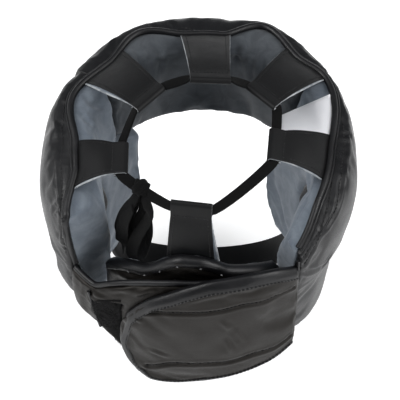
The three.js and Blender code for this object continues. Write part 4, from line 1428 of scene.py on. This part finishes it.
# Shares of a tab's half width, closer together at both edges, and the share where the edge starts
SAMPLES = np.array([-1, -0.96, -0.8, -0.4, 0, 0.4, 0.8, 0.96, 1])
EDGE_START = 0.8
# How far the suede shows beside the leather at the fold
TIP_PEEK = 0.25


def tab_sheet(frame_of_tab, low, high, peeks, name, materials):
    """One layer of a tab between two heights; peeks widen it beside the leather."""
    root_point, centre, across, along, up = frame_of_tab
    rings = []
    for kind, a, b, lean in tab_path():
        rows = {low: [], high: []}
        share = a if kind == "strap" else 1.0
        wide = [lerp(root, TIP_PEEK, share) + (mid - root / 2) * math.sin(math.pi * share) * 0.9
                for root, mid in peeks]
        for s in SAMPLES:
            edge = max(0, abs(s) - EDGE_START) / (1 - EDGE_START) * (wide[0] if s < 0 else wide[1])
            if kind == "strap":
                start = centre + across * (s * TIP_WIDTH / 2) - along * (CASING / 2)
                point = root_point(s).lerp(start, a) + up * tab_bulge(a, s)
                face = up
            else:
                point = centre + across * (s * TIP_WIDTH / 2) + along * a + up * b
                face = up * math.cos(lean) + along * math.sin(lean)
            point = point + across * math.copysign(edge, s)
            for height, row in rows.items():
                row.append(point + face * height)
        rings.append(rows[high] + rows[low][::-1])
    piece = loft(name, rings, materials)
    sides = len(SAMPLES)
    first_edge = {0, 1, 2 * sides - 1, 2 * sides - 2}
    last_edge = {sides - 2, sides - 1, sides, sides + 1}
    for polygon in piece.data.polygons:
        corners = {v % (2 * sides) for v in polygon.vertices}
        if corners <= first_edge or corners <= last_edge:
            polygon.material_index = len(materials) - 1
    return piece


NO_PEEK = ((0, 0), (0, 0))
for row, frame_of_tab in zip(TABS, FRAMES):
    name = row[0]
    tab = tab_sheet(frame_of_tab, 0.05, 0.95, NO_PEEK, name + "_leather", [TAB])
    backing = tab_sheet(frame_of_tab, -0.7, 0.0, row[5:], name + "_backing", [SUEDE, RAW_EDGE])
    fit(tab, "tab_leather", name)
    fit(backing, "lining_suede", name)
print(len(TABS), "tabs")

# %% [markdown]
# ## Lace, knot and bow
# One flat braid runs through the six folds and is tied between the left and the rear tab.
# The knot is four turns of the braid, and its loops and ends hang down inside the tongue.

# %% Ring of lace
LACE_WIDTH, LACE_DEPTH, LACE_SAG = 8.6, 1.6, 0.6
# How strongly the lace keeps a tab's direction where it leaves the tab: 0 is straight across
LACE_PULL = 0.25
# The lace's face leans to the rear beside the front tab, and hardly anywhere else
FRONT_LEAN, OTHER_LEAN = Vector((0, 0.55, 0.1)), Vector((0, 0.1, 0))


def lace_ring():
    """Stations of the lace through the six folds and across the gaps between them."""
    stations = []
    count = len(FRAMES)
    reach = TIP_WIDTH / 2 - 1
    for k in range(count):
        _, centre, across, _, up = FRAMES[k]
        _, next_centre, next_across, _, next_up = FRAMES[(k + 1) % count]
        for s in np.linspace(-1, 1, 5):
            stations.append((centre + across * (s * reach), up, 1))
        a, b = centre + across * reach, next_centre - next_across * reach
        pull = (b - a).length / 3
        c, d = a + across * pull * LACE_PULL, b - next_across * pull * LACE_PULL
        lean = FRONT_LEAN if k in (0, count - 1) else OTHER_LEAN
        for t in np.linspace(0, 1, 10)[1:-1]:
            at = a * (1 - t) ** 3 + c * 3 * t * (1 - t) ** 2 + d * 3 * t * t * (1 - t) + b * t ** 3
            middle = math.sin(math.pi * t)
            face = up.lerp(next_up, t) + lean * middle
            stations.append((at - Vector((0, 0, LACE_SAG * middle)), face.normalized(), 0.96))
    return stations


ring_stations = lace_ring()
ring = strap_rings([ring_stations[-1]] + ring_stations + [ring_stations[0]],
                   flat_section(LACE_WIDTH, LACE_DEPTH))[1:-1]
lace = loft("lace_ring", ring, [LACE], is_loop=True)
fit(lace, "lace_tape", "crown_lace")

# %% Knot and bow
KNOT_RADIUS, KNOT_SHARE, TURN_DEPTH = 7, 0.42, 2.4
# The point of the head that the knot faces away from
HEAD_MIDDLE = Vector((0, 0, -20))
_, left_centre, left_across, _, _ = FRAMES[2]
_, rear_centre, rear_across, _, _ = FRAMES[3]
knot_from = left_centre + left_across * (TIP_WIDTH / 2 + 1)
knot_to = rear_centre - rear_across * (TIP_WIDTH / 2 + 1)
KNOT = knot_from.lerp(knot_to, KNOT_SHARE)
KNOT_UP = (KNOT - HEAD_MIDDLE).normalized()


def knot_turn(name, angle, wide, tall, width, shift):
    """One turn of braid round the knot: its half width and half height, then the braid's width."""
    lace_way = (knot_to - knot_from).normalized()
    side_way = KNOT_UP.cross(lace_way)
    d = lace_way * math.cos(angle) + side_way * math.sin(angle)
    axle = KNOT_UP.cross(d)
    stations = []
    for a in np.linspace(0, 2 * math.pi, 24, endpoint=False):
        out = d * math.cos(a) * wide + KNOT_UP * math.sin(a) * tall
        stations.append((KNOT + out + axle * shift, out.normalized(), 1 + 0.08 * math.sin(3 * a + angle)))
    rings = strap_rings([stations[-1]] + stations + [stations[0]], flat_section(width, TURN_DEPTH))[1:-1]
    return fit(loft(name, rings, [LACE], is_loop=True), "lace_tape", "lace_knot")


knot_turn("knot_turn_a", angle=1.35, wide=4.6, tall=3.4, width=8, shift=0)
knot_turn("knot_turn_b", angle=0.3, wide=5.2, tall=2.6, width=6, shift=-2)
knot_turn("knot_turn_c", angle=0.15, wide=5, tall=2.4, width=5, shift=3)
knot_turn("knot_turn_d", angle=1.2, wide=5.4, tall=4.2, width=4.5, shift=1.5)


# How far the bow's outermost ribbon stands off, in knot radii, and its clearance to the linings
BOW_LIFT, BOW_CLEARANCE = 1.7, 1.4


def head_surface(angle, z):
    """Distance from the axis to where the head would be, kept clear of the linings."""
    dome = plan(angle, DOME_SIDE, DOME_FRONT, DOME_FRONT)
    height = min(0.95, max(0, z / CROWN))
    return min(dome * math.sqrt(1 - height * height),
               hollow(angle, z) - KNOT_RADIUS * BOW_LIFT - BOW_CLEARANCE)


# Each ribbon's width, then its route from the knot: angle, height as a share of the crown, and
# lift off the head as a share of the knot's radius
BOW = {
    "bow_left_loop": (11.5, [
        (140, 0.52, 1), (132, 0.27, 1.1), (125, 0, 1), (122, -0.14, 0.6), (128, -0.12, 1.2),
        (131, 0.04, 1.5), (135, 0.26, 1.6), (142, 0.5, 1.5)]),
    "bow_right_loop": (10.5, [
        (151, 0.54, 1), (151, 0.46, 1.1), (147, 0.32, 1.2), (141, 0.1, 1.2), (136, -0.14, 1),
        (138, -0.2, 0.6), (143, -0.02, 0.6), (147, 0.24, 0.5), (148, 0.44, 0.5)]),
    "bow_long_end": (11.5, [(138, 0.44, 0.5), (126, 0.1, 0.5), (118, -0.24, 0.4), (115, -0.42, 0.3)]),
    "bow_short_end": (11.5, [(146, 0.44, 0.5), (137, 0.12, 0.4), (130, -0.16, 0.4), (125, -0.36, 0.3)]),
}
RIBBON_STEP, RIBBON_DEPTH = 2.5, 1.1


def bow_ribbon(name, width, route):
    """A hanging ribbon that widens away from the knot and folds a little along its length."""
    points = [KNOT] + [polar(a, head_surface(a, h * CROWN) + lift * KNOT_RADIUS, h * CROWN)
                       for a, h, lift in route]
    line = path_of(points, RIBBON_STEP)
    stations = []
    for i, p in enumerate(line):
        t = i / (len(line) - 1)
        out = Vector(p) - Vector((0, 0, -CROWN / 4))
        side = Vector((0, 0, 1)).cross(out).normalized()
        twist = 0.5 * math.sin(5 * t + width)
        narrow = 0.5 if t < 0.02 else min(1, 0.6 + 2.5 * t)
        if "loop" in name:
            narrow = min(narrow, 0.6 + 2.5 * (1 - t))
        stations.append((Vector(p), (out.normalized() + side * twist).normalized(), narrow))
    piece = loft(name, strap_rings(stations, flat_section(width, RIBBON_DEPTH)), [LACE])
    fit(piece, "lace_tape", "lace_bow")


for name, (width, route) in BOW.items():
    bow_ribbon(name, width, route)

# %% [markdown]
# ## Label, chin strap and ear openings
# A plain cloth label is sewn to the top of the right lining, and its front end stands off
# towards the head. The chin strap is one band of leather. A folded leather ring lines each
# ear opening and hides the cut foam.

# %% Label
LABEL_DEPTH, LABEL_LIFT, LABEL_WAVE = 0.6, 0.9, 0.25
# How much deeper than the ring before it a ring of the label may lie, seen from the camera, and
# how much deeper than its nearest point the sewn edge may go
LABEL_SLACK, LABEL_ROOT = 0.8, 12
# Corners in the picture: left and right end of the top edge, then of the bottom edge
LABEL_TOP, LABEL_BOTTOM = ((281.5, 115), (330, 94)), ((281, 139), (336, 143))


def label_sheet():
    """A thin slab laid on the lining. Its free end stands off the lining towards the head."""
    tree = skin(right_lining)
    eye = camera.location / MM
    rings = []
    for share in np.linspace(0, 1, 22):
        top, bottom = (np.array(ends[0]) * share + np.array(ends[1]) * (1 - share)
                       for ends in (LABEL_TOP, LABEL_BOTTOM))
        spots = [top * (1 - rise) + bottom * rise for rise in np.linspace(0, 1, 16)]
        found = [seen_on(tree, [spot]) for spot in spots]
        depths = [(hit[0] - eye).length if hit else math.inf for hit in found]
        if rings:
            depths = [min(depth, last + LABEL_SLACK) for depth, last in zip(depths, near)]
        else:
            rooted = min(depths)
            depths = [min(depth, rooted + LABEL_ROOT) for depth in depths]
        near = depths
        front, back = [], []
        for k, (spot, depth) in enumerate(zip(spots, depths)):
            ray = sight_line(*spot)
            lift = LABEL_LIFT + LABEL_WAVE * math.sin(9 * share + 0.2 * k)
            front.append(eye + ray * (depth - lift - LABEL_DEPTH))
            back.append(eye + ray * (depth - lift))
        rings.append(front + back[::-1])
    print("label rings", len(rings), "depths", round(min(near)), round(max(near)))
    return loft("bare_label", rings, [LABEL])


label = label_sheet()
fit(label, "label_cloth", "size_label")

# %% Chin strap
CHIN_WIDTH, CHIN_DEPTH, CHIN_DROP, CHIN_FORWARD, CHIN_ANGLE = 28, 3, 48, 11, 62
end_z = -CHEEK_DROP - GAP
chin_end = polar(CHIN_ANGLE, seam(CHIN_ANGLE, end_z) + PAD_EDGE / 2, end_z)


def chin_station(share):
    """Place, face and scale of the chin strap at a share of its length."""
    turn = math.pi * share
    z = end_z - CHIN_DEPTH - CHIN_DROP * math.sin(turn)
    at = Vector((chin_end.x * math.cos(turn), chin_end.y - CHIN_FORWARD * math.sin(turn), z))
    return at, Vector((math.cos(turn), 0, -math.sin(turn))), 1


chin = [(chin_end, chin_station(0)[1], 1)] + [chin_station(t) for t in np.linspace(0, 1, 49)]
chin.append((Vector((-chin_end.x, chin_end.y, chin_end.z)), chin_station(1)[1], 1))
chin_strap = loft("chin_band", strap_rings(chin, flat_section(CHIN_WIDTH, CHIN_DEPTH, 0.3)), [TAB])
fit(chin_strap, "tab_leather", "chin_strap")


# %% Ear openings
def open_ear(piece, side):
    """Cuts the ear opening through a pad."""
    reach = HOLLOW_SIDE + LINING_SIDE + SHELL_LEFT
    ends = [side * HOLLOW_SIDE / 2, side * (reach + 20)]
    turns = np.linspace(0, 2 * math.pi, 56, endpoint=False)
    rings = [[Vector((x, EAR_BACK + EAR_WIDTH / 2 * math.cos(a), EAR_HEIGHT / 2 * math.sin(a) - EAR_DROP))
              for a in turns] for x in ends]
    cutter = loft("ear_cutter", rings)
    hole = piece.modifiers.new("ear", "BOOLEAN")
    hole.operation = "DIFFERENCE"
    hole.object = cutter
    hole.solver = "EXACT"
    bake(piece)
    bpy.data.objects.remove(cutter)


# Distances at which the search for a face starts, and those taken where it finds none
OUTSIDE, INSIDE = 150, 40
SHELL_FACE, LINING_FACE = 100, 85
EAR_BAND = 1.16


def ear_ring(name, shell_tree, lining_tree, side):
    """Folded leather lining of an ear opening, from the shell's face to the lining's."""
    rings = []
    for a in np.linspace(0, 2 * math.pi, 64, endpoint=False):
        def at(reach, x):
            return Vector((x, EAR_BACK + EAR_WIDTH / 2 * reach * math.cos(a),
                           EAR_HEIGHT / 2 * reach * math.sin(a) - EAR_DROP))

        def face(tree, way, reach):
            start = at(reach, side * (OUTSIDE if way > 0 else INSIDE)) * MM
            hit = tree.ray_cast(start, Vector((-side * way, 0, 0)))[0]
            return abs(hit.x) / MM if hit is not None else None

        out = face(shell_tree, 1, EAR_BAND) or SHELL_FACE
        into = face(lining_tree, -1, EAR_BAND) or LINING_FACE
        profile = [
            (EAR_BAND, out - 0.4), (1.13, out + 0.9), (1.05, out + 1.2), (0.985, out + 0.4),
            (0.97, out - 2), (0.965, (out + into) / 2), (0.97, into + 2), (0.985, into - 0.3),
            (1.05, into - 1.1), (1.13, into - 0.8), (EAR_BAND, into + 0.4), (1.08, into + 1.5),
            (1.04, (out + into) / 2), (1.08, out - 1.5),
        ]
        rings.append([at(reach, side * x) for reach, x in profile])
    piece = loft(name, rings, [EDGE], is_loop=True)
    return fit(piece, "piping_leather")


for side, shell, lining in ((1, left_shell, left_lining), (-1, right_shell, right_lining)):
    ear_ring("ear_ring_left" if side > 0 else "ear_ring_right", skin(shell), skin(lining), side)
    open_ear(shell, side)
    open_ear(lining, side)
print("ear openings cut")

# %% Loop field of the closure
# Angle of the corner's seam, the height where it starts to lean, and its lean in degrees a millimetre
SEAM_ANGLE, SEAM_LEVEL, SEAM_LEAN = 133.6, -20, 0.105


def corner_seam(z):
    """Angle of the seam between the smooth rear corner and the loops."""
    return SEAM_ANGLE + max(0, SEAM_LEVEL - z) * SEAM_LEAN


def loop_sheet():
    """A thin slab on the wing between the corner's seam and the flap's end."""
    rings = []
    for share in np.linspace(0, 1, 14):
        front, back = [], []
        for v in np.linspace(0, 1, 14):
            angle = lerp(corner_seam(-40), FLAP_END - 0.3, share)
            z = lerp(wing_bottom(angle) + 2.5, wing_top(angle) - 14, v)
            angle = lerp(corner_seam(z), FLAP_END - 0.3, share)
            radius = face_radius(wing_tree, angle, z, wing_inner(angle) + WING_DEPTH - 1)
            front.append(polar(angle, radius + 0.5, z))
            back.append(polar(angle, radius - 0.6, z))
        rings.append(front + back[::-1])
    return loft("loop_field", rings, [LOOPS])


wing_tree = skin(wing)
corner_line = [polar(corner_seam(z), wing_inner(corner_seam(z)) + WING_DEPTH + 0.2, z)
               for z in np.linspace(wing_top(134) - 3, wing_bottom(137) + 2, 24)]
roll("corner_cord", path_of(corner_line), 1.2, seed=5)
loop_field = loop_sheet()
grow(loop_field, LOOP_FIELD, Density=260000.0, Material=LOOPS)
fit(loop_field, "loop_fabric", "loop_patch")
print("loop field", len(loop_field.data.polygons), "faces")


# %% [markdown]
# ## Stitches
# Every groove gets its row of stitches, and so do the folded bands, the tabs and the chin
# strap. The rows are laid on the finished skins, so each stitch sits in its groove.

# %% Rows of stitches
def settled(piece, line, lift=0.15):
    """A line laid on a piece's finished skin."""
    tree = skin(piece)
    laid = []
    for p in path_of(line, 1.6):
        spot, normal = tree.find_nearest(Vector(p) * MM)[:2]
        laid.append(spot / MM + normal * lift)
    return laid


TAB_SEAM, CHIN_SEAM = 0.84, 11


def tab_line(frame_of_tab, s):
    """A line along a tab's leather, at a share s of its half width."""
    root_point, centre, across, along, up = frame_of_tab
    line = []
    for t in np.linspace(0.06, 1, 14):
        start = centre + across * (s * TIP_WIDTH / 2) - along * (CASING / 2)
        line.append(root_point(s).lerp(start, t) + up * (tab_bulge(t, s) + 1.05))
    return line


tab_rows = [tab_line(f, s) for f in FRAMES for s in (-TAB_SEAM, TAB_SEAM)]
fold_rows = []
for root_point, centre, across, along, up in FRAMES:
    fold_rows.append([centre + across * (s * TIP_WIDTH / 2) - along * (CASING / 2 - 0.4) + up * 2.55
                      for s in np.linspace(-TAB_SEAM, TAB_SEAM, 9)])
chin_rows = []
for s in (-CHIN_SEAM, CHIN_SEAM):
    row = []
    for t in np.linspace(0.02, 0.98, 60):
        at, up, _ = chin_station(t)
        ahead = chin_station(min(1, t + 0.01))[0] - chin_station(max(0, t - 0.01))[0]
        row.append(at + ahead.normalized().cross(up).normalized() * s + up * 1.6)
    chin_rows.append(row)
channel_rows = [settled(piece, line) for piece, line in THREADS if len(line) > 1]


def stitch(name, rows, slot, material=THREAD_DARK, **values):
    """Rows of stitches as one piece."""
    return fit(on_lines(name, rows, STITCH_ROW, Material=material, **values), slot)


stitch("channel_stitches", channel_rows, "shell_leather", Pitch=0.0031, Length=0.0023, Thread=0.00042, Seed=3)
stitch("tab_stitches", tab_rows + fold_rows + chin_rows, "tab_leather", Pitch=0.0027, Length=0.0019,
       Thread=0.00032, Seed=4)
stitch("flap_stitches", [settled(flap, flap_stitches, 0.9)], "piping_leather", Pitch=0.0031, Length=0.0022,
       Thread=0.0004, Seed=5)
# The tongue's band gets sparse stitches of the pale thread, painted glints on its dark thread.
stitch("tongue_stitches", [tongue_stitches], "piping_leather", THREAD_PAINTED_GLINT, Pitch=0.016, Length=0.002,
       Thread=0.00045, Wander=0.5, Seed=6)
print("stitched rows:", len(channel_rows) + len(tab_rows) + len(fold_rows) + len(chin_rows) + 2)

# %% [markdown]
# ## Stage
# A pale floor and soft light from both sides, from behind and from above, as for a product picture.

# %% Floor, lights and finish
FLOOR_HALF = 4
FLOOR_Z = CAD_LOW.z - 0.0005
floor_mesh = bpy.data.meshes.new("floor")
floor_mesh.from_pydata([(x * FLOOR_HALF, y * FLOOR_HALF, FLOOR_Z)
                        for x, y in ((-1, -1), (1, -1), (1, 1), (-1, 1))], [], [(0, 1, 2, 3)])
floor = bpy.data.objects.new("floor", floor_mesh)
scene.collection.objects.link(floor)
paper = new_material("paper", 0.9, Base_Color=(0.85, 0.85, 0.85, 1), Emission_Color=(1, 1, 1, 1),
                     Emission_Strength=0.5)[0]
floor_mesh.materials.append(paper)

world = bpy.data.worlds.new("studio")
world.use_nodes = True
sky = world.node_tree.nodes["Background"]
sky.inputs["Color"].default_value = (0.9, 0.95, 1, 1)
sky.inputs["Strength"].default_value = 0.16
scene.world = world
scene.view_settings.view_transform = "Standard"


def softbox(name, place, size, power):
    """A large soft lamp that points at the headgear."""
    data = bpy.data.lights.new(name, "AREA")
    data.shape = "RECTANGLE"
    data.size, data.size_y = size
    data.energy = power
    lamp = bpy.data.objects.new(name, data)
    lamp.location = place
    lamp.rotation_mode = "QUATERNION"
    lamp.rotation_quaternion = (-Vector(place)).to_track_quat("-Z", "Y")
    scene.collection.objects.link(lamp)


softbox("left_box", place=(1.5, 0.1, 1.35), size=(1.0, 1.2), power=30)
softbox("right_box", place=(-1.5, 0.2, 1.3), size=(1.0, 1.2), power=26)
softbox("rear_box", place=(-1.3, 1.5, 0.35), size=(0.8, 0.5), power=6)
softbox("top_box", place=(0, -0.2, 2.2), size=(1.2, 1.2), power=7)
